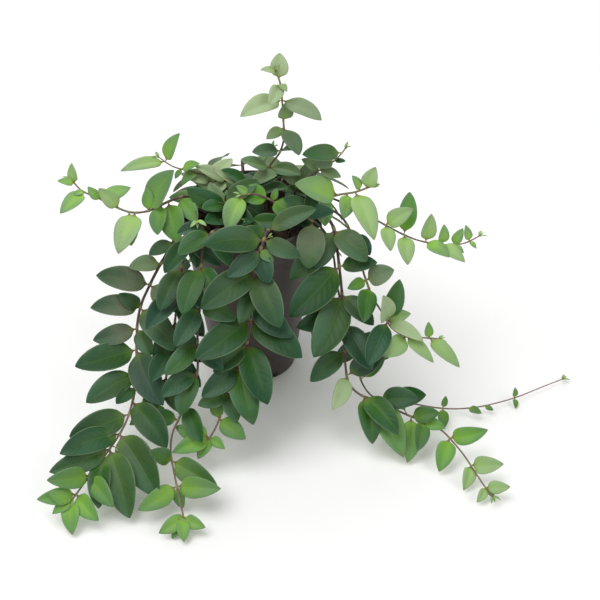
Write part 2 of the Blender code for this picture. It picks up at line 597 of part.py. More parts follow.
def main():
    for obj in list(bpy.data.objects):
        bpy.data.objects.remove(obj)
    pot, pot_skin = make_pot()
    soil, soil_skin = make_soil()
    pot.data.materials.append(material("pot_plastic", (0.055, 0.045, 0.042), 0.45))
    soil.data.materials.append(material("potting_soil", (0.035, 0.024, 0.016), 0.95))
    stems = {shoot["name"]: stem_object(shoot) for shoot in SHOOTS}
    stem_skins = {name: skin_of(stem) for name, stem in stems.items()}
    leaves = settled_leaves([pot_skin, soil_skin], stem_skins)
    for shoot in SHOOTS:
        name = shoot["name"]
        blades = [mesh_object(f"{name}_leaf_{i}", *loft(rings, tip))
                  for i, (rings, tip) in enumerate(leaves[name])]
        boolean(stems[name], "UNION", name + "_join", "MANIFOLD", blades)
        stems[name].data.materials.clear()
        stems[name].data.materials.append(material(name + "_leaf", TONES[shoot["tone"]], 0.42))


main()
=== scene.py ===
"""The looks of a potted lipstick plant: a plastic grower's pot, soil, and 24 leafy shoots.

Sizes are in millimetres and become metres where a mesh is made. +Z is up and the front faces -Y.
"""
import random
from collections import namedtuple
from math import atan2, cos, exp, hypot, pi, radians, remainder, sin, sqrt

import bmesh
import bpy
from mathutils import Matrix, Vector, noise
from mathutils.bvhtree import BVHTree
from mathutils.kdtree import KDTree


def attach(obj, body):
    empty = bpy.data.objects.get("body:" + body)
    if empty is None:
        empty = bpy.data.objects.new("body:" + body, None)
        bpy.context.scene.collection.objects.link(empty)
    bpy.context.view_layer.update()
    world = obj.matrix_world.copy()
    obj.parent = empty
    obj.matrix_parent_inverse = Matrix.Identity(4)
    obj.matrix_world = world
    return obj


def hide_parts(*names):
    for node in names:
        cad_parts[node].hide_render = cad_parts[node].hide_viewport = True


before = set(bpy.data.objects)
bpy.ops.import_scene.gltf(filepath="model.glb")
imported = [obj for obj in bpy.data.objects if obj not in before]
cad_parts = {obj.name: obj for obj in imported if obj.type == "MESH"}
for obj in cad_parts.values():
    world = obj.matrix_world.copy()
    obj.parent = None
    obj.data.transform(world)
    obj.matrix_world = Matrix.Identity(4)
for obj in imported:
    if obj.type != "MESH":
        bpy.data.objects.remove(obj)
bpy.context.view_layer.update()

MM = 0.001


# The pot: a thin tapered grower's pot, injection moulded in taupe plastic and turned here from its
# outline. Its collar is two millimetres proud for stacking, its foot has six slots and its floor
# four drain holes.
RIM_RADIUS = 65.0
POT_HEIGHT = 180.0
BASE_RADIUS = 41.5
COLLAR_FOOT = 156.0
BODY_RADIUS = 61.8
WALL = 1.8
FLOOR_THICK = 2.4
POT_STEPS = 108
SHARP = radians(50)
SLOT_LOW, SLOT_HIGH = 3.5, 6.9
DRAIN_REACH, DRAIN_RADIUS = 21.0, 4.0
DRAIN_INNER, DRAIN_OUTER = DRAIN_REACH - DRAIN_RADIUS, DRAIN_REACH + DRAIN_RADIUS
SLOT_HALF_ANGLE, DRAIN_HALF_ANGLE = radians(5), radians(10)
SLOT_TURNS = [pi * k / 3 for k in range(6)]
DRAIN_TURNS = [pi * (k + 0.5) / 2 for k in range(4)]


def turned(outline, steps, closed=True, start=0.0):
    """A piece turned all the way round from its half section, a closed one or one that ends on the
    axis, which starts at the given turn."""
    bm = bmesh.new()
    verts = [bm.verts.new((r * MM * cos(start), r * MM * sin(start), z * MM))
             for r, z in outline]
    edges = [bm.edges.new(pair) for pair in zip(verts, verts[1:])]
    if closed:
        edges.append(bm.edges.new((verts[-1], verts[0])))
    bmesh.ops.spin(bm, geom=verts + edges, cent=(0, 0, 0), axis=(0, 0, 1), angle=2 * pi,
                   steps=steps, use_merge=True)
    bmesh.ops.remove_doubles(bm, verts=bm.verts, dist=2e-6)
    bmesh.ops.recalc_face_normals(bm, faces=bm.faces)
    return bm


def put(name, data):
    """An object in the scene, at the origin."""
    made = bpy.data.objects.new(name, data)
    bpy.context.scene.collection.objects.link(made)
    return made


def piece_from(bm, name, materials):
    """A finished piece of the plant, which rides on the one body."""
    mesh = bpy.data.meshes.new(name)
    bm.to_mesh(mesh)
    bm.free()
    for material in materials:
        mesh.materials.append(material)
    mesh.shade_smooth()
    piece = put(name, mesh)
    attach(piece, "root")
    return piece


class Wire:
    """One output among a material's nodes. A sum on it adds the Math nodes that work it out."""

    def __init__(self, tree, plug=None):
        self.tree = tree
        self.plug = plug

    def node(self, kind, settings, sockets, out=0):
        """Adds a node: its settings first, then the values or the links of its sockets."""
        made = self.tree.nodes.new(kind)
        for key, value in settings.items():
            setattr(made, key, value)
        for key, value in sockets.items():
            if isinstance(value, Wire):
                self.tree.links.new(value.plug, made.inputs[key])
            else:
                made.inputs[key].default_value = value
        return Wire(self.tree, made.outputs[out])

    def maths(self, operation, *terms):
        return self.node("ShaderNodeMath", {"operation": operation}, dict(enumerate(terms)))

    def __add__(self, other):
        return self.maths("ADD", self, other)

    def __sub__(self, other):
        return self.maths("SUBTRACT", self, other)

    def __rsub__(self, other):
        return self.maths("SUBTRACT", other, self)

    def __mul__(self, other):
        return self.maths("MULTIPLY", self, other)

    __radd__ = __add__
    __rmul__ = __mul__

    def ramp(self, low, high):
        """A soft step from 0 at the low value to 1 at the high one."""
        return self.node("ShaderNodeMapRange", {"interpolation_type": "SMOOTHSTEP"},
                         {0: self, 1: low, 2: high})

    def mix(self, first, second):
        """The first colour where this is 0, and the second where it is 1."""
        first, second = (c if isinstance(c, Wire) else colour(*c) for c in (first, second))
        return self.node("ShaderNodeMix", {"data_type": "RGBA"}, {0: self, 6: first, 7: second}, 2)

    def cloud(self, size, detail=3.0, rough=0.5):
        """Soft noise from 0 to 1 over this place, with spots of about the given size in mm."""
        return self.node("ShaderNodeTexNoise", {},
                         {"Vector": self, "Scale": 1 / (size * MM), "Detail": detail,
                          "Roughness": rough})

    def feed(self, shader, name):
        self.tree.links.new(self.plug, shader.inputs[name])

    def bump(self, shader, strength, depth):
        """Lets this height, from 0 to 1, tilt the surface, with the given depth in mm."""
        self.node("ShaderNodeBump", {}, {"Strength": strength, "Distance": depth * MM,
                                         "Height": self}).feed(shader, "Normal")


def colour(red, green, blue):
    """A colour as it is seen on a screen, turned into the linear light that a shader takes."""
    return (*[((c / 255 + 0.055) / 1.055) ** 2.4 for c in (red, green, blue)], 1.0)


def new_material(name, **constants):
    """A material, its shader with the values that are the same all over, and the surface's place."""
    material = bpy.data.materials.new(name)
    material.use_nodes = True
    shader = material.node_tree.nodes["Principled BSDF"]
    for key, value in constants.items():
        shader.inputs[key.replace("_", " ")].default_value = value
    place = Wire(material.node_tree).node("ShaderNodeTexCoord", {}, {}, "Object")
    return material, shader, place


def moulded_plastic():
    """Satin taupe plastic with faint mottling, soil dust near the rim and wear at the foot."""
    material, shader, place = new_material("pot_plastic", Specular_IOR_Level=0.35)
    height = place.node("ShaderNodeSeparateXYZ", {}, {0: place}, 2) * (1 / MM)
    mottle = place.cloud(22, 4.0, 0.6)
    speck = place.cloud(1.1, 2.0)
    base = mottle.ramp(0.3, 0.7).mix((58, 51, 49), (70, 62, 59))
    dust = height.ramp(120, 178) * mottle.ramp(0.45, 0.75) * 0.5
    base = dust.mix(base, (84, 76, 70))
    scuff = (1 - height.ramp(0.5, 4.5)) * place.cloud(3).ramp(0.35, 0.65)
    base = (scuff * 0.6).mix(base, (100, 92, 88))
    (speck.ramp(0.62, 0.72) * 0.2).mix(base, (90, 84, 80)).feed(shader, "Base Color")
    (0.4 + mottle * 0.2 + scuff * 0.15).feed(shader, "Roughness")
    (place.cloud(0.5, 2.0) * 0.6 + mottle * 0.4).bump(shader, 0.25, 0.12)
    return material


def off_turn(place, turns):
    """The angle round the axis from a place to the nearest of some turns."""
    return min(abs(remainder(atan2(place.y, place.x) - t, 2 * pi)) for t in turns)


def opening(bm, heights, reaches, turns, half_angle):
    """The faces inside a span of heights and of reaches, near one of some turns round the axis."""
    found = []
    for face in bm.faces:
        middle = face.calc_center_median() / MM
        reach = hypot(middle.x, middle.y)
        if (heights[0] < middle.z < heights[1] and reaches[0] < reach < reaches[1]
                and off_turn(middle, turns) < half_angle):
            found.append(face)
    return found


pot_outline = [
    (RIM_RADIUS - 1.3, POT_HEIGHT), (RIM_RADIUS - 0.7, POT_HEIGHT - 0.15),
    (RIM_RADIUS - 0.2, POT_HEIGHT - 0.55), (RIM_RADIUS - 0.02, POT_HEIGHT - 1.2),
    (RIM_RADIUS - 0.55, POT_HEIGHT - 12), (RIM_RADIUS - 1.15, COLLAR_FOOT + 1.0),
    (RIM_RADIUS - 1.25, COLLAR_FOOT + 0.3), (RIM_RADIUS - 1.6, COLLAR_FOOT - 0.1),
    (BODY_RADIUS + 0.5, COLLAR_FOOT - 0.5), (BODY_RADIUS, COLLAR_FOOT - 1.3),
    (BODY_RADIUS - 0.1, COLLAR_FOOT - 2.4), (BODY_RADIUS - 6.7, 105), (BODY_RADIUS - 13.4, 55),
    (BASE_RADIUS + 0.45, SLOT_HIGH), (BASE_RADIUS, SLOT_LOW), (BASE_RADIUS - 0.5, 1.8),
    (BASE_RADIUS - 1.5, 0.6), (BASE_RADIUS - 2.6, 0.0), (DRAIN_OUTER, 0.0),
    (DRAIN_INNER, 0.0), (0.0, 0.0), (0.0, FLOOR_THICK), (DRAIN_INNER, FLOOR_THICK),
    (DRAIN_OUTER, FLOOR_THICK),
    (BASE_RADIUS - WALL - 1.2, FLOOR_THICK), (BASE_RADIUS - WALL, SLOT_LOW + 0.9),
    (BASE_RADIUS - WALL + 0.4, SLOT_HIGH), (BODY_RADIUS - 13.4 - WALL, 55),
    (BODY_RADIUS - 6.7 - WALL, 105), (BODY_RADIUS - WALL, COLLAR_FOOT - 1.5),
    (RIM_RADIUS - 1.2 - WALL, COLLAR_FOOT + 2.2), (RIM_RADIUS - WALL - 0.25, POT_HEIGHT - 0.9),
    (RIM_RADIUS - WALL + 0.1, POT_HEIGHT - 0.2),
]
pot_mesh = turned(pot_outline, POT_STEPS, start=pi / POT_STEPS)
holes = opening(pot_mesh, (SLOT_LOW, SLOT_HIGH), (BASE_RADIUS - 3, BASE_RADIUS + 2), SLOT_TURNS,
                SLOT_HALF_ANGLE)
holes += opening(pot_mesh, (-0.1, FLOOR_THICK + 0.1), (DRAIN_INNER, DRAIN_OUTER), DRAIN_TURNS,
                 DRAIN_HALF_ANGLE)
bmesh.ops.delete(pot_mesh, geom=holes, context="FACES")
open_edges = [e for e in pot_mesh.edges if e.is_boundary]
for turn in SLOT_TURNS + DRAIN_TURNS:
    reach, half_angle = (DRAIN_REACH, 0.25) if turn in DRAIN_TURNS else (BASE_RADIUS, 0.15)
    ring = []
    for edge in open_edges:
        middle = (edge.verts[0].co + edge.verts[1].co) / 2 / MM
        if off_turn(middle, [turn]) < half_angle and abs(hypot(middle.x, middle.y) - reach) < 5:
            ring.append(edge)
    # A drain hole's edges are drawn out to a circle
    if turn in DRAIN_TURNS:
        centre = Vector((reach * cos(turn), reach * sin(turn), 0)) * MM
        for vert in {v for e in ring for v in e.verts}:
            arm = Vector((vert.co.x, vert.co.y, 0)) - centre
            vert.co.xy = (centre + arm.normalized() * DRAIN_RADIUS * MM).xy
    bmesh.ops.bridge_loops(pot_mesh, edges=ring)
bmesh.ops.recalc_face_normals(pot_mesh, faces=pot_mesh.faces)
for edge in pot_mesh.edges:
    if len(edge.link_faces) == 2 and edge.calc_face_angle() > SHARP:
        edge.smooth = False
pot = piece_from(pot_mesh, "grower_pot", [moulded_plastic()])
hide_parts("pot")


# The soil: dark peat with bark and a few pale crumbs, filled to a finger's width below the rim and
# slightly heaped. Its top is bumpy, and bark chips lie on it between the stems.
SOIL_GAP = 0.4
SOIL_EDGE = 162.0
SOIL_MIDDLE = 165.5
SOIL_STEPS = 96
CHIP_COUNT = 150
CHIP_HALVES = ((0.8, 3.0), (0.6, 1.8), (0.4, 1.0))
SOIL_NECK = RIM_RADIUS - 1.2 - WALL - SOIL_GAP


def soil_top(reach):
    """The height of the heaped soil at a distance from the pot's axis."""
    return SOIL_MIDDLE - (SOIL_MIDDLE - SOIL_EDGE + 1.0) * (reach / SOIL_NECK) ** 2


def roughen(bm, margin, *waves):
    """Raises and lowers the soil's top by noise, all but a margin at its edge."""
    for vert in bm.verts:
        place = vert.co / MM
        if place.z > SOIL_EDGE - 0.5 and hypot(place.x, place.y) < SOIL_NECK - margin:
            vert.co.z += sum(height * MM * noise.noise(place * pace) for height, pace in waves)


def peat():
    """Dark brown peat: clumps and fibres, with paler bark and grit."""
    material, shader, place = new_material("potting_soil", Specular_IOR_Level=0.2)
    clump = place.cloud(5, 6.0, 0.65)
    fibre = place.cloud(1.2, 4.0, 0.7)
    base = clump.ramp(0.35, 0.65).mix((34, 26, 21), (66, 50, 38))
    base = (fibre.ramp(0.55, 0.7) * 0.6).mix(base, (96, 74, 54))
    grit = place.cloud(2.2, 1.0).ramp(0.7, 0.76)
    (grit * 0.7).mix(base, (150, 138, 118)).feed(shader, "Base Color")
    (0.98 - grit * 0.15).feed(shader, "Roughness")
    (clump * 0.5 + fibre * 0.5).bump(shader, 0.9, 1.2)
    return material


soil_outline = [(r, soil_top(r)) for r in (*range(0, 12, 3), *range(12, 57, 4))]
soil_outline += [(SOIL_NECK - 0.4, SOIL_EDGE - 1.0), (SOIL_NECK - 0.3, COLLAR_FOOT + 2.4),
                 (BODY_RADIUS - WALL - SOIL_GAP, COLLAR_FOOT - 1.4),
                 (BASE_RADIUS - WALL - SOIL_GAP - 0.4, FLOOR_THICK + 2.8),
                 (BASE_RADIUS - WALL - 2.2, FLOOR_THICK + 0.35), (0.0, FLOOR_THICK + 0.35)]
soil_mesh = turned(soil_outline, SOIL_STEPS, closed=False)
roughen(soil_mesh, 3, (1.1, 0.11), (0.8, 0.4))
chance = random.Random(5)
for k in range(CHIP_COUNT):
    turn = chance.uniform(0, 2 * pi)
    reach = (SOIL_NECK - 6) * sqrt(chance.random())
    chip = bmesh.ops.create_icosphere(soil_mesh, subdivisions=1, radius=1.0 * MM)["verts"]
    halves = [chance.uniform(*span) for span in CHIP_HALVES]
    bmesh.ops.scale(soil_mesh, verts=chip, vec=halves)
    tumble = Matrix.Rotation(chance.uniform(0, 6.3), 3, "Z")
    tumble = tumble @ Matrix.Rotation(chance.uniform(-0.5, 0.5), 3, "X")
    bmesh.ops.rotate(soil_mesh, verts=chip, cent=(0, 0, 0), matrix=tumble)
    place = Vector((reach * cos(turn), reach * sin(turn), soil_top(reach) + 0.4))
    bmesh.ops.translate(soil_mesh, verts=chip, vec=place * MM)
soil = piece_from(soil_mesh, "peat_soil", [peat()])
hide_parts("soil")


# The shoots: thin woody stems that arch over the rim and trail, with waxy leaves in opposite pairs.
# Each stem is drawn through the points below, and each leaf is turned until it is clear of its
# neighbours, as they settle on the living plant, in the same order as the solids were made.
HOLE_BOTTOM = 150.0
FOOT_TOP = 168.0
STEM_SPACING = 16.0
BLADE_THICK = 1.4
LEAF_RATIO = 0.53
YOUNG_RATIO = 0.64
YOUNG_LENGTH = 34.0
RING_PLACES = [(33.0, (0.14, 0.45, 0.77)), (18.0, (0.25, 0.68)), (0.0, (0.42,))]
FOOT_POWER = 0.6
TIP_POWER = 0.8
CURL = radians(26)
CLEARANCE = 0.4
GROUND_GAP = 0.5
ASIDE, BENT = range(-36, 37, 6), range(-30, 49, 6)
SCALES = (1.0, 0.88, 0.76, 0.64)

# Leaf angles are given as seen from in front and above: a clock angle from upright, clockwise,
# and a lean out of that view's plane, towards the viewer.
VIEW_DIP = radians(37.4)
RIGHT = Vector((1, 0, 0))
RISE = Vector((0, sin(VIEW_DIP), cos(VIEW_DIP)))
NEAR = Vector((0, -cos(VIEW_DIP), sin(VIEW_DIP)))
USUAL_LEAN = 20

# Each shoot: where it leaves the soil, its thickness at the root and at the tip, the tone of its
# leaves, the points that its stem passes, and its leaves, node by node. A node is (place along the
# stem in percent, leaf, leaf, ...), and a leaf is (clock angle, length, lean, width ratio, look);
# the last three may be left out. Even pairs are (first place, last place, count, longest, shortest).
Shoot = namedtuple("Shoot", "name foot thick tone way nodes pairs", defaults=((), ()))
SHOOTS = [
    Shoot("trail_left", (-36, -12), (1.7, 0.8), "dark", [
        (-43, -16, 184), (-55, -20, 190), (-63, -28, 183), (-67, -37, 170), (-81, -51, 150),
        (-91, -57, 132), (-100, -70, 115), (-103, -81, 98), (-103, -97, 82), (-103, -127, 64),
        (-110, -156, 50), (-125, -181, 38), (-137, -198, 30), (-151, -218, 20)], [
        (20, (240, 26)), (27, (95, 28, 10, 0.85, "dusty"), (262, 30, "grey")),
        (34, (280, 50, "dusty"), (130, 42, "dusty")),
        (41, (270, 46, "dusty"), (140, 54, "dull"), (305, 26)), (47, (255, 42, "dusty"), (150, 30)),
        (53, (255, 58), (150, 62)), (60, (240, 52)), (64, (225, 26, 35)), (68, (140, 55)), (72, (250, 56)),
        (78, (145, 68), (250, 58, 20, 0.46)), (83, (160, 65), (250, 56, 20, 0.44)),
        (86, (180, 46, "green")), (92, (135, 40), (270, 42, 40)), (98, (135, 32), (265, 34)),
        (100, (175, 30), (295, 24), (235, 20))]),
    Shoot("trail_front_left", (-20, -34), (1.6, 0.8), "middle", [
        (-25, -44, 184), (-33, -57, 188), (-39, -67, 182), (-41, -73, 168), (-43, -85, 136),
        (-46, -104, 105), (-46, -118, 82), (-53, -132, 62), (-63, -147, 48), (-69, -165, 38),
        (-65, -190, 28), (-60, -208, 20), (-54, -231, 12)], [
        (11, (235, 40, 30), (150, 36)), (22, (145, 32), (200, 48)), (34, (110, 38), (210, 44)),
        (45, (135, 36), (225, 42)), (54, (200, 42), (235, 40)), (64, (155, 38)), (69, (285, 28)),
        (82, (115, 48), (300, 28, 40)), (90, (90, 42), (240, 40), (165, 20)),
        (100, (110, 22), (240, 25), (175, 22), (210, 20), (285, 10))]),
    Shoot("trail_front", (22, -30), (1.6, 0.9), "dark", [
        (20, -42, 182), (16, -58, 190), (13, -69, 185), (8, -75, 170), (4, -84, 146), (2, -93, 122),
        (-1, -104, 104), (-9, -115, 84), (-19, -127, 66), (-27, -143, 44), (-36, -156, 32)], [
        (13, (66, 48, 10, 0.42, "dull"), (245, 42, 30)), (19, (115, 38), (265, 55)),
        (23, (230, 40), (165, 32), (135, 18)), (32, (155, 57), (235, 60)), (38, (200, 36)),
        (44, (130, 50)), (51, (125, 60), (235, 62)), (60, (160, 60, "deep"), (230, 40)),
        (69, (165, 57, "green"), (230, 45)), (80, (160, 30), (245, 30)), (91, (125, 32), (350, 22)),
        (99, (250, 37), (290, 33), (210, 22), (125, 18))]),
    Shoot("trail_right", (47, -17), (1.7, 0.7), "dark", [
        (54, -21, 184), (64, -26, 191), (73, -32, 187), (78, -43, 174), (81, -54, 155), (84, -65, 130),
        (86, -83, 100), (87, -95, 84), (89, -108, 64), (98, -113, 50), (118, -114, 42), (138, -120, 33),
        (159, -127, 28), (174, -133, 24), (192, -157, 18), (206, -186, 12), (215, -204, 9)], [
        (14, (205, 40, 10, 0.64, "dull"), (135, 44, 20, 0.64, "dull")), (23, (225, 66), (85, 36)),
        (30, (205, 66), (135, 42)), (37, (265, 46), (150, 52)), (44, (230, 44), (60, 40, 40)),
        (50, (205, 36, "pale"), (50, 46)), (57, (170, 46, "green"), (140, 50, "green")),
        (61, (155, 57, "fresh"), (86, 38, 20, 0.66)), (70, (185, 43, "fresh"), (80, 27, 20, 0.7)),
        (73, (195, 34, 40), (105, 22, "bright"), (150, 12)), (81, (75, 37, "bright"), (200, 33, "bright")),
        (90, (85, 30, "light"), (200, 24, "light")),
        (97, (85, 22, "light"), (215, 16, "light"), (140, 12))]),
    Shoot("runner_right", (36, -27), (1.3, 0.5), "middle", [
        (44, -31, 183), (56, -37, 190), (66, -40, 182), (72, -41, 170), (77, -40, 150), (81, -51, 122),
        (89, -57, 92), (97, -70, 66), (102, -85, 48), (110, -99, 36), (131, -98, 28), (154, -97, 22),
        (170, -96, 17), (193, -93, 12), (216, -87, 9), (238, -78, 7), (259, -68, 6), (286, -52, 5),
        (305, -42, 5)], [
        (8, (185, 44, 10, 0.7, "dusty")), (14, (225, 50, "dull")), (28, (215, 48), (205, 34, 50)),
        (40, (105, 34, 5), (240, 36, 50)), (47, (35, 40, 10, 0.46, "green")), (56, (80, 34, 20, 0.66)),
        (68, (180, 20), (15, 12, 0)), (74, (110, 14)), (78, (115, 10)), (86, (0, 11), (180, 11))]),
    Shoot("trail_right_mid", (52, -5), (1.4, 0.7), "middle", [
        (60, -12, 186), (74, -19, 189), (87, -28, 182), (96, -45, 168), (104, -61, 146), (112, -74, 130),
        (123, -88, 118), (131, -97, 110), (143, -98, 104), (164, -92, 98), (173, -91, 96)], [
        (28, (170, 36, "dull")), (32, (135, 26)), (53, (245, 20), (70, 28, 20, 0.8, "grey")),
        (56, (190, 40, 35, "green")),
        (73, (15, 41, "green"), (205, 46, 20, "deep"),
         (120, 38, 20, 0.42, "pale"), (70, 22, "silver"), (335, 38, 35, 0.6, "pale")),
        (84, (230, 30, 20, 0.7, "silver"), (135, 35, 20, 0.42, "silver")),
        (95, (135, 39, 20, 0.44, "silver"), (355, 16))]),
    Shoot("arch_right", (50, 7), (1.2, 0.6), "fresh", [
        (58, 4, 184), (69, -1, 191), (86, -13, 192), (109, -29, 188), (137, -35, 174), (158, -36, 165),
        (174, -35, 162), (188, -31, 158), (200, -25, 157), (212, -19, 160)], [
        (50, (60, 30, "silver"), (170, 26, "silver")), (60, (10, 39, "green"), (175, 30, "silver")),
        (71, (10, 27, "silver"), (125, 27)), (79, (5, 19), (130, 28, "silver")), (85, (30, 18), (130, 13)),
        (94, (345, 16), (140, 10))]),
    Shoot("arch_left", (-30, 5), (1.5, 0.7), "fresh", [
        (-38, 0, 185), (-52, -8, 196), (-65, -15, 199), (-76, -19, 196), (-90, -22, 190), (-102, -22, 187),
        (-118, -18, 189), (-136, -12, 196), (-152, -7, 201), (-164, 4, 208)], [
        (21, (275, 25)), (31, (145, 30)), (38, (165, 39, 10, 0.74)), (42, (185, 30)),
        (50, (35, 46, 20, 0.66), (0, 22)), (57, (200, 44, 20, 0.66, "silver")), (61, (175, 32, 10, 0.74)),
        (67, (315, 26, "silver")), (78, (55, 29), (315, 17)), (88, (225, 31), (250, 12)),
        (96, (355, 19, "silver"), (275, 16))]),
    Shoot("twig_top_left", (-3, 34), (1.1, 0.6), "middle", [
        (-11, 31, 180), (-23, 28, 190), (-38, 27, 196), (-51, 28, 200), (-66, 28, 203), (-77, 31, 207),
        (-86, 35, 212)], [
        (30, (290, 35, "pale"), (230, 26, "pale")), (60, (230, 20)), (75, (85, 21, "bright"), (210, 12)),
        (92, (255, 44, 20, 0.42, "silver"), (30, 31))]),
    Shoot("upright", (17, 22), (1.3, 0.7), "pale", [
        (14, 17, 190), (18, 14, 214), (25, 15, 224), (31, 14, 238), (31, 17, 254), (31, 19, 270),
        (29, 23, 283), (29, 22, 295), (25, 22, 307)], [
        (32, (280, 34, 40), (105, 32)), (46, (265, 27), (95, 28, 50)), (62, (155, 33, "dull"), (235, 20)),
        (67, (5, 18, 20, 0.95)), (80, (120, 43, "grey"), (245, 43, "pale")),
        (91, (205, 24, "pale"), (145, 14, 40)), (94, (5, 23, 20, 0.85, "pale")), (99, (275, 15, "pale"))]),
    Shoot("twig_top_right", (36, 17), (1.1, 0.6), "middle", [
        (42, 7, 192), (51, 4, 206), (64, 2, 218), (77, 1, 228), (82, 5, 236), (87, 3, 240)], [
        (35, (330, 31, "grey"), (35, 34, "grey")), (65, (300, 20, "grey"), (110, 22, "grey")),
        (83, (250, 18, 10, 0.8, "grey"), (95, 11)), (94, (265, 38, "dull"))]),
    Shoot("arch_right_top", (35, -6), (1.4, 0.8), "fresh", [
        (44, -12, 185), (57, -16, 194), (68, -14, 197), (81, -10, 199), (91, -9, 200), (102, -7, 202),
        (111, -5, 205)], [
        (50, (180, 30)), (66, (300, 45, 20, 0.7, "fresh")), (75, (190, 25, 10, 0.7)),
        (83, (160, 51, "silver")), (88, (330, 16)), (94, (25, 22, 20, 0.8, "light")),
        (99, (75, 9, "pale"))]),
    Shoot("twig_front", (28, 6), (1.2, 0.8), "fresh", [
        (27, -6, 184), (19, -14, 196), (8, -15, 202), (-1, -15, 205), (-8, -21, 206)], [
        (50, (125, 24, 10, 0.9, "green"), (20, 13)), (56, (283, 28, -5, 0.82, "green")),
        (97, (200, 37, 10, 0.62, "fresh")), (88, (305, 14))]),
    Shoot("crown_right", (34, -17), (1.2, 0.9), "dark", [
        (41, -22, 181), (50, -25, 189), (56, -25, 191)], [
        (42, (195, 30, 40), (140, 34, 40)), (70, (325, 24, 0)), (89, (85, 34), (20, 24)),
        (99, (295, 28, 10))]),
    Shoot("crown_left", (-13, -12), (1.2, 0.9), "middle", [
        (-18, -16, 182), (-23, -15, 192)], [
        (38, (110, 42, 35), (235, 40, 40)), (80, (105, 36, 10), (290, 42, "deep")),
        (100, (55, 38, 0, "dull"), (250, 28, 40), (325, 24, 0, "grey"))]),
    Shoot("crown_front", (4, -22), (1.2, 0.9), "middle", [
        (2, -30, 181), (-2, -38, 189)], [
        (42, (270, 42, 30)), (82, (125, 34, 0), (235, 42)), (100, (285, 30, 10), (165, 26, 50))]),
    Shoot("trail_inner_left", (-30, -25), (1.5, 0.8), "dark", [
        (-36, -36, 184), (-45, -48, 189), (-52, -57, 181), (-58, -63, 165), (-64, -72, 135),
        (-68, -84, 105), (-72, -98, 80), (-78, -114, 60), (-85, -130, 47)], [
        (13, (240, 34, 30), (190, 40)), (23, (215, 40), (130, 36)), (36, (205, 46), (140, 44)),
        (48, (215, 48), (150, 46)), (61, (205, 48), (145, 46)), (74, (200, 46), (140, 44)),
        (86, (210, 42), (150, 40)), (97, (180, 36), (230, 34))]),
    Shoot("crown_middle", (4, 13), (1.2, 0.8), "middle", [
        (1, 11, 186), (-1, 9, 198)], [
        (50, (80, 42, 35), (250, 40, 35), (170, 34, 50)), (89, (50, 36), (295, 38, "pale")),
        (100, (285, 32, 40), (65, 32, 40, "grey"))]),
    # Shoots behind the pot, with opposite leaves at even steps
    Shoot("back_left", (-26, 36), (1.5, 0.8), "dark", [
        (-30, 47, 184), (-36, 58, 188), (-42, 69, 178), (-47, 81, 150), (-50, 92, 110), (-51, 104, 70),
        (-53, 120, 34), (-56, 144, 14), (-58, 170, 9)], pairs=(16, 97, 7, 46, 26)),
    Shoot("back_middle", (-8, 48), (1.5, 0.8), "middle", [
        (-9, 57, 185), (-10, 68, 188), (-10, 79, 176), (-9, 92, 145), (-8, 102, 105), (-8, 114, 62),
        (-8, 132, 28), (-9, 160, 12), (-10, 186, 8)], pairs=(17, 97, 7, 48, 24)),
    Shoot("back_right", (16, 44), (1.5, 0.8), "dark", [
        (22, 53, 184), (28, 63, 188), (33, 73, 177), (37, 86, 146), (40, 96, 104), (42, 108, 60),
        (45, 126, 27), (48, 150, 12), (50, 172, 9)], pairs=(18, 97, 7, 46, 25)),
    Shoot("back_side", (38, 34), (1.3, 0.8), "middle", [
        (44, 40, 184), (51, 47, 189), (58, 53, 180), (63, 59, 158), (66, 66, 128), (68, 74, 98),
        (70, 84, 72)], pairs=(22, 97, 5, 40, 22)),
    # Short shoots that close the crown at the back
    Shoot("crown_back_left", (-24, 18), (1.2, 0.8), "pale", [
        (-29, 22, 182), (-37, 28, 190)], [
        (40, (60, 38, 35, "dull"), (250, 40, 20)), (72, (300, 34, 5, 0.6, "pale"), (95, 40, 30, 0.45)),
        (98, (285, 30, 20, 0.6, "pale"), (40, 34, 5, 0.62, "pale"), (70, 36, 30))]),
    Shoot("crown_back_right", (26, 30), (1.2, 0.8), "middle", [
        (28, 36, 182), (32, 44, 191)], [
        (40, (115, 44, 30, 0.45), (280, 42, 20)), (70, (75, 32, 0, "pale"), (330, 24, 0)),
        (98, (130, 40, 40, 0.5, "grey"), (290, 32, 10, "grey"))]),
]


def catmull(points, steps):
    """A smooth curve through the given points."""
    ends = [2 * points[0] - points[1]] + points + [2 * points[-1] - points[-2]]
    curve = []
    for p0, p1, p2, p3 in zip(ends, ends[1:], ends[2:], ends[3:]):
        for k in range(steps):
            t = k / steps
            curve.append(0.5 * (2 * p1 + (p2 - p0) * t + (2 * p0 - 5 * p1 + 4 * p2 - p3) * t * t
                                + (3 * p1 - p0 - 3 * p2 + p3) * t ** 3))
    curve.append(points[-1].copy())
    return curve


def along(points, distance):
    """The point and the direction at a distance along a chain of points."""
    for a, b in zip(points, points[1:]):
        step = (b - a).length
        if distance <= step:
            return a.lerp(b, distance / step), (b - a).normalized()
        distance -= step
    return points[-1].copy(), (points[-1] - points[-2]).normalized()


def length_of(points):
    return sum((b - a).length for a, b in zip(points, points[1:]))


def stem_chain(shoot):
    """Even points along a stem, from the top of its foot to its tip."""
    foot = Vector((*shoot.foot, FOOT_TOP))
    curve = catmull([foot] + [Vector(p) for p in shoot.way], 12)
    total = length_of(curve)
    count = max(3, round(total / STEM_SPACING))
    return [along(curve, total * k / count)[0] for k in range(count + 1)]


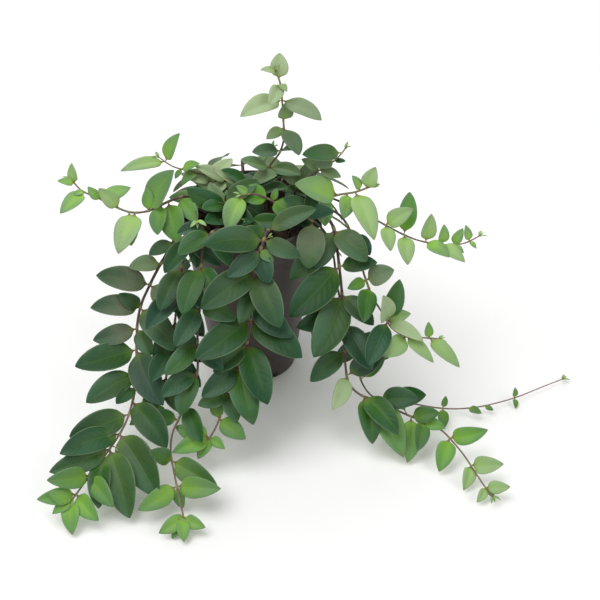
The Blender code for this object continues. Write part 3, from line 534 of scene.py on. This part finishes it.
def stem_mesh(shoot, chain, radii, bevel):
    """A stem with its straight foot, as a bevelled curve that gets thinner, turned into a mesh."""
    whole = [Vector((*shoot.foot, HOLE_BOTTOM + 0.3))] + chain
    data = bpy.data.curves.new("guide", "CURVE")
    data.dimensions = "3D"
    data.bevel_depth = 1.0 * MM
    data.bevel_resolution = bevel
    data.use_fill_caps = True
    spline = data.splines.new("POLY")
    spline.points.add(len(whole) - 1)
    for point, place, radius in zip(spline.points, whole, radii[:1] + radii):
        point.co = (*(place * MM), 1)
        point.radius = radius
    guide = put("guide", data)
    bpy.context.view_layer.update()
    mesh = bpy.data.meshes.new_from_object(guide.evaluated_get(bpy.context.evaluated_depsgraph_get()))
    bpy.data.objects.remove(guide)
    return mesh


def stem_radii(shoot, count):
    thick, thin = shoot.thick
    return [thick + (thin - thick) * (k / (count - 1)) ** 0.8 for k in range(count)]


def clock(angle, lean):
    """A direction from its clock angle and lean, as seen from the viewpoint."""
    a, b = radians(angle), radians(lean)
    return (RIGHT * sin(a) + RISE * cos(a)) * cos(b) + NEAR * sin(b)


def usual_ratio(length):
    """A leaf's width as a share of its length: young leaves are rounder."""
    return LEAF_RATIO if length >= YOUNG_LENGTH else YOUNG_RATIO


def wanted_leaves(shoot, chain, rng):
    """The leaves of one shoot: root point, direction, light, length, width ratio, share, and look."""
    total = length_of(chain)
    leaves = []
    for place, *blades in shoot.nodes:
        root, _ = along(chain, total * place / 100)
        outward = Vector((root.x, root.y, 0)).normalized()
        light = NEAR * 0.75 + Vector((0, 0, 0.45)) + outward * 0.3
        for angle, length, *rest in blades:
            look = rest.pop() if rest and isinstance(rest[-1], str) else None
            lean = rest[0] if rest else USUAL_LEAN
            ratio = rest[1] if len(rest) > 1 else usual_ratio(length)
            leaves.append([root, clock(angle, lean), light, length, ratio, place / 100, look])
    if shoot.pairs:
        first, last, count, big, small = shoot.pairs
        for k in range(count):
            share = k / (count - 1)
            root, ahead = along(chain, total * (first + (last - first) * share) / 100)
            outward = Vector((root.x, root.y, 0)).normalized()
            side = ahead.cross(outward * 0.6 + Vector((0, 0, 1))).normalized()
            length = big + (small - big) * share ** 1.5
            for sign in (1, -1):
                lift = 0.35 if (k + (sign > 0)) % 2 else -0.1
                way = side * sign * 0.85 + ahead * 0.5 + outward * lift + Vector((0, 0, -0.15))
                jitter = Vector([rng.uniform(-0.14, 0.14) for _ in range(3)])
                light = Vector((0, 0, 0.8)) + outward * 0.7
                leaves.append([root, way.normalized() + jitter, light,
                               length * rng.uniform(0.9, 1.08), usual_ratio(length), share, None])
    return leaves


def blade_half(t, to_foot=FOOT_POWER, to_tip=TIP_POWER):
    """Half the width of a blade whose full width is 1, from its foot (0) to its tip (1)."""
    widest = to_foot / (to_foot + to_tip)
    return 0.5 * (t / widest) ** to_foot * ((1 - t) / (1 - widest)) ** to_tip


class LeafLine:
    """The middle line of a leaf, which leaves its root in one direction and curls to its tip."""

    def __init__(self, root, direction, light, length):
        self.root = root
        self.length = length
        self.d = direction.normalized()
        self.n = (light - self.d * light.dot(self.d)).normalized()
        self.side = self.d.cross(self.n)
        self.stalk = min(4.5, max(1.6, 0.1 * length))
        self.blade = length - self.stalk
        self.radius = length / (2 * sin(CURL / 2))

    def at(self, t):
        """The place and the upward direction at a share of the length."""
        a = CURL * (t - 0.5)
        middle = self.root + self.d * (self.radius * (sin(a) + sin(CURL / 2)))
        middle = middle + self.n * (self.radius * (cos(a) - cos(CURL / 2)))
        return middle, self.n * cos(a) + self.d * sin(a)


def leaf_rings(root, direction, light, length, ratio, thin, grow=0.0):
    """Three-cornered rings of a plain leaf from its root in the stem, and its tip."""
    line = LeafLine(root, direction, light, length)
    places = next(rings for least, rings in RING_PLACES if length >= least)
    small = thin * 0.5 + grow
    middle, up = line.at(0.0)
    rings = [[middle - line.side * small + up * small, middle + line.side * small + up * small,
              middle - up * small]]
    for place in places:
        middle, up = line.at((line.stalk + place * line.blade) / length)
        half = line.blade * ratio * blade_half(place) + grow
        thick = up * (BLADE_THICK * 0.5 + grow)
        rings.append([middle - line.side * half + thick, middle + line.side * half + thick,
                      middle - thick])
    return rings, line.at(1.0)[0] + line.d * grow * 2


def tree_of(rings, tip):
    """A search tree of a plain leaf's skin, and the skin's points."""
    points = [p for ring in rings for p in ring] + [tip]
    faces = [(0, 1, 2)]
    for k in range(len(rings) - 1):
        for i in range(3):
            a, b = 3 * k + i, 3 * k + (i + 1) % 3
            faces += [(a, a + 3, b + 3), (a, b + 3, b)]
    last, end = 3 * (len(rings) - 1), len(points) - 1
    faces += [(last + i, end, last + (i + 1) % 3) for i in range(3)]
    return BVHTree.FromPolygons(points, faces), points


class Shell:
    """A plain leaf's skin and the skin of its blade alone, with the box that they fill."""

    def __init__(self, owner, rings, tip):
        self.owner = owner
        self.whole, points = tree_of(rings, tip)
        self.blade, _ = tree_of(rings[1:], tip)
        self.low = [min(p[i] for p in points) for i in range(3)]
        self.high = [max(p[i] for p in points) for i in range(3)]
        self.lowest = min(p.z for p in points[3:])

    def meets(self, other):
        """Leaves of one shoot may cross at their stalks, and others not at all."""
        if any(self.low[i] > other.high[i] or other.low[i] > self.high[i] for i in range(3)):
            return False
        if self.owner == other.owner:
            return bool(self.blade.overlap(other.blade))
        return bool(self.whole.overlap(other.whole))


def has_room(shell, fixed, stem_skins, placed):
    """Whether a leaf is clear of the surface below, the pot, the soil, the stems and other leaves."""
    if shell.lowest < GROUND_GAP or any(shell.whole.overlap(skin) for skin in fixed):
        return False
    for owner, skin in stem_skins.items():
        tree = shell.blade if owner == shell.owner else shell.whole
        if tree.overlap(skin):
            return False
    return not any(shell.meets(other) for other in placed)


def settle(leaf, shoot, fixed, stem_skins, placed):
    """The nearest turn from a leaf's wanted direction, and the largest size, at which it has room."""
    root, wanted, light, length, ratio = leaf[:5]
    wanted = wanted.normalized()
    normal = (light - wanted * light.dot(wanted)).normalized()
    across = wanted.cross(normal)
    turns = sorted(((a, b) for a in ASIDE for b in BENT),
                   key=lambda ab: abs(ab[0]) * 1.25 + abs(ab[1]) + 0.01 * ab[1])
    for scale in SCALES:
        for aside, bent in turns:
            way = Matrix.Rotation(radians(aside), 3, normal) @ wanted
            way = Matrix.Rotation(radians(bent), 3, across) @ way
            found = (root, way, light, length * scale, ratio, shoot.thick[1])
            shell = Shell(shoot.name, *leaf_rings(*found, CLEARANCE))
            if has_room(shell, fixed, stem_skins, placed):
                return found
    return None


def skin_of(bm):
    """A search tree of a mesh, in millimetres."""
    bm.verts.index_update()
    return BVHTree.FromPolygons([v.co / MM for v in bm.verts],
                                [tuple(v.index for v in f.verts) for f in bm.faces])


pot_skin = turned([
    (RIM_RADIUS - 1.4, POT_HEIGHT), (RIM_RADIUS, POT_HEIGHT - 0.9),
    (RIM_RADIUS - 1.2, COLLAR_FOOT), (BODY_RADIUS, COLLAR_FOOT - 1.2), (BASE_RADIUS, 3.5),
    (BASE_RADIUS - 1.5, 0.6), (BASE_RADIUS - 2.6, 0.0), (0.0, 0.0), (0.0, FLOOR_THICK),
    (BASE_RADIUS - WALL - 1.2, FLOOR_THICK), (BASE_RADIUS - WALL, FLOOR_THICK + 2.0),
    (BODY_RADIUS - WALL, COLLAR_FOOT - 1.5), (RIM_RADIUS - 1.2 - WALL, COLLAR_FOOT + 2.2),
    (RIM_RADIUS - WALL - 0.2, POT_HEIGHT - 0.6)], steps=32)
soil_skin = turned([
    (0.0, SOIL_MIDDLE), (12.0, SOIL_MIDDLE), (26.0, SOIL_MIDDLE - 0.6), (40.0, SOIL_MIDDLE - 1.6),
    (52.0, SOIL_EDGE + 1.0), (SOIL_NECK - 0.2, SOIL_EDGE - 1.0), (SOIL_NECK - 0.3, COLLAR_FOOT + 2.4),
    (BODY_RADIUS - WALL - SOIL_GAP, COLLAR_FOOT - 1.4),
    (BASE_RADIUS - WALL - SOIL_GAP - 0.4, FLOOR_THICK + 2.75),
    (BASE_RADIUS - WALL - 2.2, FLOOR_THICK + 0.35), (0.0, FLOOR_THICK + 0.35)], steps=16,
    closed=False)
roughen(soil_skin, 4, (0.9, 0.09))
fixed_skins = [skin_of(pot_skin), skin_of(soil_skin)]
stem_skins = {}
for shoot in SHOOTS:
    chain = stem_chain(shoot)
    stem = bmesh.new()
    stem.from_mesh(stem_mesh(shoot, chain, stem_radii(shoot, len(chain)), 0))
    bmesh.ops.remove_doubles(stem, verts=stem.verts, dist=1e-6)
    bmesh.ops.triangulate(stem, faces=stem.faces)
    bmesh.ops.recalc_face_normals(stem, faces=stem.faces)
    stem_skins[shoot.name] = skin_of(stem)
    stem.free()
chance = random.Random(11)
placed = []
settled = {}
for shoot in SHOOTS:
    settled[shoot.name] = []
    for leaf in wanted_leaves(shoot, stem_chain(shoot), chance):
        found = settle(leaf, shoot, fixed_skins, stem_skins, placed)
        if found:
            placed.append(Shell(shoot.name, *leaf_rings(*found)))
            settled[shoot.name].append((found, *leaf[5:]))


# Leaves and stems to be seen: each leaf is a smooth thick blade with a groove along its midrib, a
# slight fold and a curled tip, and each stem is round, with a swelling at every node. The oldest
# leaves are dark blue-green with painted bluish and grey sheen, and those near the tips bright green.
LEAF_ROWS = (0.0, 0.04, 0.14, 0.3, 0.48, 0.66, 0.82, 0.94, 1.0)
FULL_FOOT, FULL_TIP = 0.5, 0.7
BLADE_EDGE, BLADE_MIDDLE = 0.26, 0.42
STEM_STEPS = 8
STEM_SWELL = 1.15
KNOT_SWELL, KNOT_LENGTH, KNOT_TINT = 0.4, 1.8, 2.2
SPRIG_FOOT, SPRIG_TIP, SPRIG_AGE = 0.75, 0.55, 0.9
BUD_SIZE = 8.5
SMALL_LEAF, SMALL_YOUTH, YOUTH_POWER = 26, 0.5, 1.3

# One leaf, flat: across from -1 to 1 and along by rows, with its underside 1 below its top
leaf_pattern = bmesh.new()
bmesh.ops.create_grid(leaf_pattern, x_segments=4, y_segments=len(LEAF_ROWS), size=1.0)
for vert in leaf_pattern.verts:
    vert.co.y = round((vert.co.y + 1) / 2 * len(LEAF_ROWS))
    vert.co.z = 0.0
bottom = bmesh.ops.duplicate(leaf_pattern, geom=leaf_pattern.faces[:])["geom"]
bottom_verts = [g for g in bottom if isinstance(g, bmesh.types.BMVert)]
bmesh.ops.translate(leaf_pattern, verts=bottom_verts, vec=(0, 0, -1))
rims = [e for e in leaf_pattern.edges if e.is_boundary]
bmesh.ops.bridge_loops(leaf_pattern, edges=rims)
bmesh.ops.recalc_face_normals(leaf_pattern, faces=leaf_pattern.faces)
leaf_flat = bpy.data.meshes.new("leaf_flat")
leaf_pattern.to_mesh(leaf_flat)
leaf_pattern.free()

# What each point tells its material; on a stem, "across" is how near the point is to a node
TRAITS = ("across", "along", "under", "youth", "chance", "pale", "dust")


def full_half(t, youth):
    """Half the width of a blade to be seen, which is blunter than the plain one, and in a young
    leaf broader at its foot."""
    return blade_half(t, FULL_FOOT - 0.12 * youth, FULL_TIP + 0.14 * youth)


def add_leaf(bm, found, youth, pale, dust, style):
    """Adds one leaf to a shoot: the flat pattern, bent along the leaf's line."""
    root, direction, light, length, ratio, thin = found
    line = LeafLine(root, direction, light, length)
    fold, puff, twist, sway, wave, phase = (style.uniform(*span) for span in (
        (0.08, 0.42), (0.04, 0.14), (-0.24, 0.24), (-0.05, 0.05), (0.0, 0.06), (0, 6.3)))
    puff += 0.1 * youth
    luck = style.random()
    start = len(bm.verts)
    bm.from_mesh(leaf_flat)
    bm.verts.ensure_lookup_table()
    layers = [bm.verts.layers.float[trait] for trait in TRAITS]
    for vert in bm.verts[start:]:
        across, row, under = vert.co.x, round(vert.co.y), -vert.co.z
        place = LEAF_ROWS[row - 1] if row else 0.0
        share = (line.stalk + place * line.blade) / length if row else 0.0
        middle, up = line.at(share)
        half = max(line.blade * ratio * full_half(place, youth), thin * 0.62 * (1 - place), 0.1)
        turn = twist * place
        aside = line.side * cos(turn) + up * sin(turn)
        up = up * cos(turn) - line.side * sin(turn)
        grown = min(1.0, place * 6)
        lift = half * (abs(across) * fold + puff * sin(pi * min(1.0, abs(across) * 1.1)))
        lift += half * abs(across) * wave * sin(place * 11 + phase + across)
        lift -= half * 0.10 * (1 - abs(across)) ** 3
        thick = BLADE_EDGE + (BLADE_MIDDLE - BLADE_EDGE) * (1 - abs(across))
        thick = thick * grown * (1 - 0.45 * place) + thin * 0.6 * (1 - grown)
        vert.co = (middle + aside * (half * across + sway * line.blade * 4 * place * (1 - place))
                   + up * (lift * grown + thick * (1 - 2 * under))) * MM
        for layer, value in zip(layers, (across, place, under, youth, luck, pale, dust)):
            vert[layer] = value


def waxy_leaf(name, old, deep, young, glow):
    """A waxy leaf, from its dark old colour to its young one, each deeper near its foot, where the old
    colour is painted shade, with a painted bluish sheen, faint veins and a thin pale edge."""
    material, shader, place = new_material(name, Specular_IOR_Level=0.2)
    across, way, under, youth, luck, pale, dust = (
        place.node("ShaderNodeAttribute", {"attribute_name": trait}, {}, 2) for trait in TRAITS)
    wide = place.maths("ABSOLUTE", across)
    patch = place.cloud(15)
    fine = place.cloud(2.4, 3.0, 0.6)
    outward = way * 0.6 + wide * 0.35 + (patch - 0.5) * 0.7
    # Darker, more saturated green near the foot and along the midrib of an old leaf (the deep colour) is
    # painted shade
    mature = outward.ramp(0.1, 0.75).mix(deep, old)
    mature = ((1 - luck.ramp(0.1, 0.4)) * 0.6).mix(mature, (30, 64, 56))
    mature = (luck.ramp(0.6, 0.9) * 0.45).mix(mature, (52, 86, 34))
    tender = outward.ramp(0.1, 0.7).mix(glow, young)
    age = (youth + (patch - 0.5) * 0.3 + (fine - 0.5) * 0.1).ramp(0.0, 1.0)
    base = age.mix(mature, tender)
    # Painted bluish sheen, a painted reflection of the sky: lighter on one half of an old leaf, as if that
    # half faces the light, and in cloudy patches
    half = (across * (luck - 0.5) * 5.0 + (patch - 0.5) * 1.2).ramp(-0.3, 0.9)
    sheen = half * (1 - youth) * way.ramp(0.05, 0.5) * (0.2 + luck * 0.4)
    base = sheen.mix(base, (72, 112, 84))
    # Painted grey-brown sheen near the foot, standing for reflected light, and on a pale leaf a painted
    # pale sheen with painted light shining through it
    painted_grey_sheen = dust * (1 - (way + (patch - 0.5) * 0.8).ramp(0.3, 0.9)) * (0.6 + fine * 0.4)
    base = painted_grey_sheen.mix(base, (106, 110, 92))
    pale_sheen = youth.mix((146, 160, 130), (172, 194, 144))
    base = (pale * (0.7 + patch * 0.5)).mix(base, pale_sheen)
    # Green foot, a faint midrib and fainter side veins
    foot = (1 - way.ramp(0.0, 0.2)) * (0.2 + youth * 0.5)
    base = foot.mix(base, (134, 170, 66))
    rib = (1 - wide.ramp(0.01, 0.06)) * (1 - way * 0.75)
    base = (rib * (0.1 + youth * 0.08)).mix(base, (140, 170, 100))
    slant = way * 8.0 - wide * 2.2
    vein = place.maths("SINE", slant * 6.283).ramp(0.86, 1.0)
    vein = vein * (1 - wide.ramp(0.6, 0.95)) * wide.ramp(0.02, 0.2)
    base = (vein * 0.05).mix(base, (120, 150, 90))
    edge = wide.ramp(0.955, 0.995) * way.ramp(0.02, 0.2) * (0.1 + patch * 0.3)
    base = edge.mix(base, (146, 172, 122))
    # A young leaf's tip and margin are flushed grey-purple, and every stalk is brownish
    flush = (way.ramp(0.82, 1.0) * 0.7 + wide.ramp(0.9, 1.0) * way * 0.3) * youth * (0.4 + luck * 0.6)
    base = flush.mix(base, (124, 118, 108))
    stalk = 1 - way.ramp(0.0, 0.05)
    base = (stalk * 0.75).mix(base, (118, 90, 76))
    below = youth.mix((134, 152, 114), (152, 178, 116))
    below = (rib * 0.5).mix(below, (170, 186, 136))
    below = (stalk * 0.75).mix(below, (118, 90, 76))
    under.ramp(0.4, 0.8).mix(base, below).feed(shader, "Base Color")
    (0.3 + fine * 0.1 + patch * 0.1 + under * 0.2 + pale * 0.1 + dust * 0.15).feed(shader, "Roughness")
    groove = wide.ramp(0.0, 0.09) * 0.5
    quilt = place.maths("SINE", slant * 6.283 + 2.0)
    quilt = quilt * (1 - wide.ramp(0.6, 1.0)) * wide.ramp(0.05, 0.3)
    (groove + fine * 0.2 + quilt * 0.14 + patch * 0.4).bump(shader, 0.6, 0.6)
    return material


def stem_bark(name, old, young):
    """Smooth thin bark: purplish brown where old, pinkish brown when young, paler at the nodes."""
    material, shader, place = new_material(name)
    share, knot = (place.node("ShaderNodeAttribute", {"attribute_name": trait}, {}, 2)
                   for trait in ("along", "across"))
    fleck = place.cloud(1.3, 4.0, 0.65)
    streak = place.cloud(7)
    base = (share * 1.2 + (streak - 0.5) * 0.5).ramp(0.15, 1.05).mix(old, young)
    base = (fleck.ramp(0.52, 0.68) * 0.35).mix(base, (150, 132, 116))
    base = (knot.ramp(0.1, 0.9) * 0.65).mix(base, (142, 146, 84))
    base.feed(shader, "Base Color")
    (0.5 + fleck * 0.2).feed(shader, "Roughness")
    (fleck * 0.6 + streak * 0.4).bump(shader, 0.5, 0.25)
    return material


# A leaf's colours by its shoot's tone: old, old near its foot (darker there as painted shade), young, and
# young near its foot
LEAF_COLOURS = {
    "dark": ((24, 66, 36), (28, 76, 10), (102, 150, 82), (122, 174, 62)),
    "middle": ((34, 82, 38), (38, 92, 12), (106, 150, 84), (130, 178, 66)),
    "fresh": ((84, 134, 62), (88, 148, 38), (122, 160, 104), (150, 196, 84)),
    "pale": ((108, 134, 98), (104, 136, 80), (150, 172, 128), (160, 190, 112)),
}
LEAF_TONES = {tone: waxy_leaf("leaf_" + tone, *shades) for tone, shades in LEAF_COLOURS.items()}
BARKS = {
    "dark": stem_bark("stem_brown", (68, 50, 52), (118, 92, 86)),
    "middle": stem_bark("stem_brown_middle", (72, 54, 54), (122, 96, 88)),
    "fresh": stem_bark("stem_purplish", (74, 54, 56), (112, 82, 82)),
    "pale": stem_bark("stem_greenish", (92, 76, 64), (140, 130, 90)),
}
# How far along its stem a shoot's leaves start to turn young: by tone, and on some shoots sooner
# or later
YOUNG_FROM = {"dark": 0.72, "middle": 0.5, "fresh": 0.0, "pale": 0.1}
YOUNG_OTHERWISE = {"trail_right": 0.42, "trail_front_left": 0.68, "twig_top_left": 0.35,
                   "upright": 0.5, "twig_top_right": 0.99, "crown": 0.99}
# How young a leaf is, and how much painted pale sheen and painted grey-brown sheen it has, where its look
# has a name in the table of shoots
LOOKS = {"deep": (0.0, 0.0, 0.0), "green": (0.26, 0.0, 0.0), "bright": (0.9, 0.0, 0.0),
         "silver": (0.8, 0.45, 0.0), "pale": (0.6, 0.95, 0.0), "grey": (0.25, 0.4, 0.3),
         "dull": (0.0, 0.06, 0.3), "dusty": (0.0, 0.12, 0.8),
         "light": (1.0, 0.55, 0.0), "fresh": (0.7, 0.1, 0.0)}
# Short side sprigs with a bud: place along the stem in percent, clock angle, lean, reach, bud size
SPRIGS = {
    "arch_left": [(23, 166, 50, 38, 13)],
    "twig_top_right": [(12, 318, 40, 13, 8), (20, 25, 40, 9, 8)],
    "crown_middle": [(97, 34, 20, 42, 9)],
    "trail_front": [(19, 60, 20, 6, 6)],
    "trail_left": [(82, 110, 20, 5, 6)],
    "trail_right": [(69, 330, 20, 6, 7)],
}
style = random.Random(23)


def bud(bm, tip, ahead, size, style):
    """A shoot's tip: two pairs of tiny leaves, crosswise, which are not yet open."""
    lift = Vector((0, 0, 1)) if abs(ahead.z) < 0.9 else Vector((0, 1, 0))
    across = ahead.cross(lift).normalized()
    for k, (share, spread) in enumerate([(1.0, 0.75), (0.94, 0.7), (0.65, 0.4), (0.6, 0.35)]):
        open_to = across if k < 2 else across.cross(ahead)
        way = ahead + open_to * spread * (1 if k % 2 else -1)
        add_leaf(bm, (tip - ahead * (1.5 - k * 0.5), way, lift + ahead * 0.2, size * share, 0.42, 0.7),
                 1.0, 0.4, 0.0, style)


for shoot in SHOOTS:
    name, tone = shoot.name, shoot.tone
    chain = stem_chain(shoot)
    smooth = catmull(chain, STEM_STEPS)
    total = length_of(chain)
    # The nodes' places, as shares of the stem's length
    knots = sorted({round(share, 3) for _, share, _ in settled[name]})
    if shoot.pairs:
        first, last = shoot.pairs[:2]
        knots = [(first + (last - first) * share) / 100 for share in knots]
    radii = [STEM_SWELL * radius for radius in stem_radii(shoot, len(smooth))]
    for k in range(len(radii)):
        at = k / (len(radii) - 1)
        near = min(abs(at - knot) * total for knot in knots)
        radii[k] *= 1 + KNOT_SWELL * exp(-(near / KNOT_LENGTH) ** 2)
    bm = bmesh.new()
    for trait in TRAITS:
        bm.verts.layers.float.new(trait)
    bm.from_mesh(stem_mesh(shoot, smooth, radii, 1))
    bmesh.ops.remove_doubles(bm, verts=bm.verts, dist=1e-6)
    bmesh.ops.recalc_face_normals(bm, faces=bm.faces)
    middle = KDTree(len(smooth))
    for k, point in enumerate(smooth):
        middle.insert(point, k)
    middle.balance()
    share_layer, knot_layer = bm.verts.layers.float["along"], bm.verts.layers.float["across"]
    for vert in bm.verts:
        at = middle.find(vert.co / MM)[1] / (len(smooth) - 1)
        vert[share_layer] = at
        vert[knot_layer] = exp(-(min(abs(at - knot) for knot in knots) * total / KNOT_TINT) ** 2)
    # Side sprigs, whose buds are added with the stem's own
    sprigs = []
    for place, angle, lean, reach, size in SPRIGS.get(name, []):
        foot, way = along(chain, total * place / 100)[0], clock(angle, lean)
        stance = way.to_track_quat("Z", "X").to_matrix().to_4x4()
        stance.translation = (foot + way * reach / 2) * MM
        twig = bmesh.ops.create_cone(bm, cap_ends=True, segments=6, radius1=SPRIG_FOOT * MM,
                                     radius2=SPRIG_TIP * MM, depth=reach * MM, matrix=stance)
        for vert in twig["verts"]:
            vert[share_layer] = SPRIG_AGE
        sprigs.append((foot + way * reach, way, size))
    for face in bm.faces:
        face.material_index = 1
    # The stem goes through a mesh and back, so that a leaf's points always come last
    stem = bpy.data.meshes.new(name)
    bm.to_mesh(stem)
    bm.clear()
    bm.from_mesh(stem)
    group = "crown" if name.startswith("crown") else name
    begin = YOUNG_OTHERWISE.get(group, YOUNG_FROM[tone])
    for found, share, look in settled[name]:
        youth = max(0.0, (min(share, 0.99) - begin) / (1 - begin)) ** YOUTH_POWER
        if found[3] < SMALL_LEAF and begin < 0.9:
            youth = max(youth, SMALL_YOUTH)
        # Leaves without a named look get a little painted pale sheen and painted grey-brown sheen at
        # random
        youth, pale, dust = LOOKS.get(look, (youth, 0.06 * style.random(),
                                             0.25 * style.random() ** 2))
        add_leaf(bm, found, min(1.0, max(0.0, youth + style.uniform(-0.08, 0.08))), pale, dust, style)
    bud(bm, *along(chain, total), BUD_SIZE, style)
    for tip, way, size in sprigs:
        bud(bm, tip, way, size, style)
    piece = piece_from(bm, "leafy_" + name, [LEAF_TONES[tone], BARKS[tone]])
    rounding = piece.modifiers.new("rounding", "SUBSURF")
    rounding.levels = 1
    rounding.render_levels = 1
    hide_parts("shoot_" + name)


# The surface, the light and the camera: a pale table under a broad soft light from above on the
# left, seen from in front and above.
table = bmesh.new()
bmesh.ops.create_grid(table, x_segments=8, y_segments=8, size=4.0)
surface = bpy.data.meshes.new("surface")
table.to_mesh(surface)
table.free()
material, shader, place = new_material("pale_surface", Roughness=0.9, Specular_IOR_Level=0.1)
place.cloud(300, 2.0).ramp(0.2, 0.8).mix((247, 247, 246), (250, 250, 249)).feed(
    shader, "Base Color")
surface.materials.append(material)
floor = put("surface", surface)

world = bpy.data.worlds.new("studio")
bpy.context.scene.world = world
world.use_nodes = True
background = world.node_tree.nodes["Background"].inputs
background["Color"].default_value = (1, 1, 1, 1)
background["Strength"].default_value = 0.4
bpy.context.scene.view_settings.view_transform = "Standard"


def soft_light(name, place, size, power):
    """A broad square light that faces the plant."""
    data = bpy.data.lights.new(name, "AREA")
    data.size = size
    data.energy = power
    lamp = put(name, data)
    lamp.location = place
    lamp.rotation_euler = (Vector((0, 0, 0.15)) - Vector(place)).to_track_quat("-Z", "Y").to_euler()


soft_light("key", (-0.7, -0.4, 1.9), 1.5, 26.0)
soft_light("fill", (1.3, -1.1, 1.3), 1.2, 10.0)
soft_light("rear", (0.0, 1.7, 1.3), 1.6, 16.0)

camera_data = bpy.data.cameras.new("camera")
camera_data.sensor_width = 36
camera_data.lens = 73.3
camera = put("camera", camera_data)
camera.location = (0.046, -0.951, 0.798)
camera.rotation_euler = (pi / 2 - VIEW_DIP, 0, 0)
bpy.context.scene.camera = camera
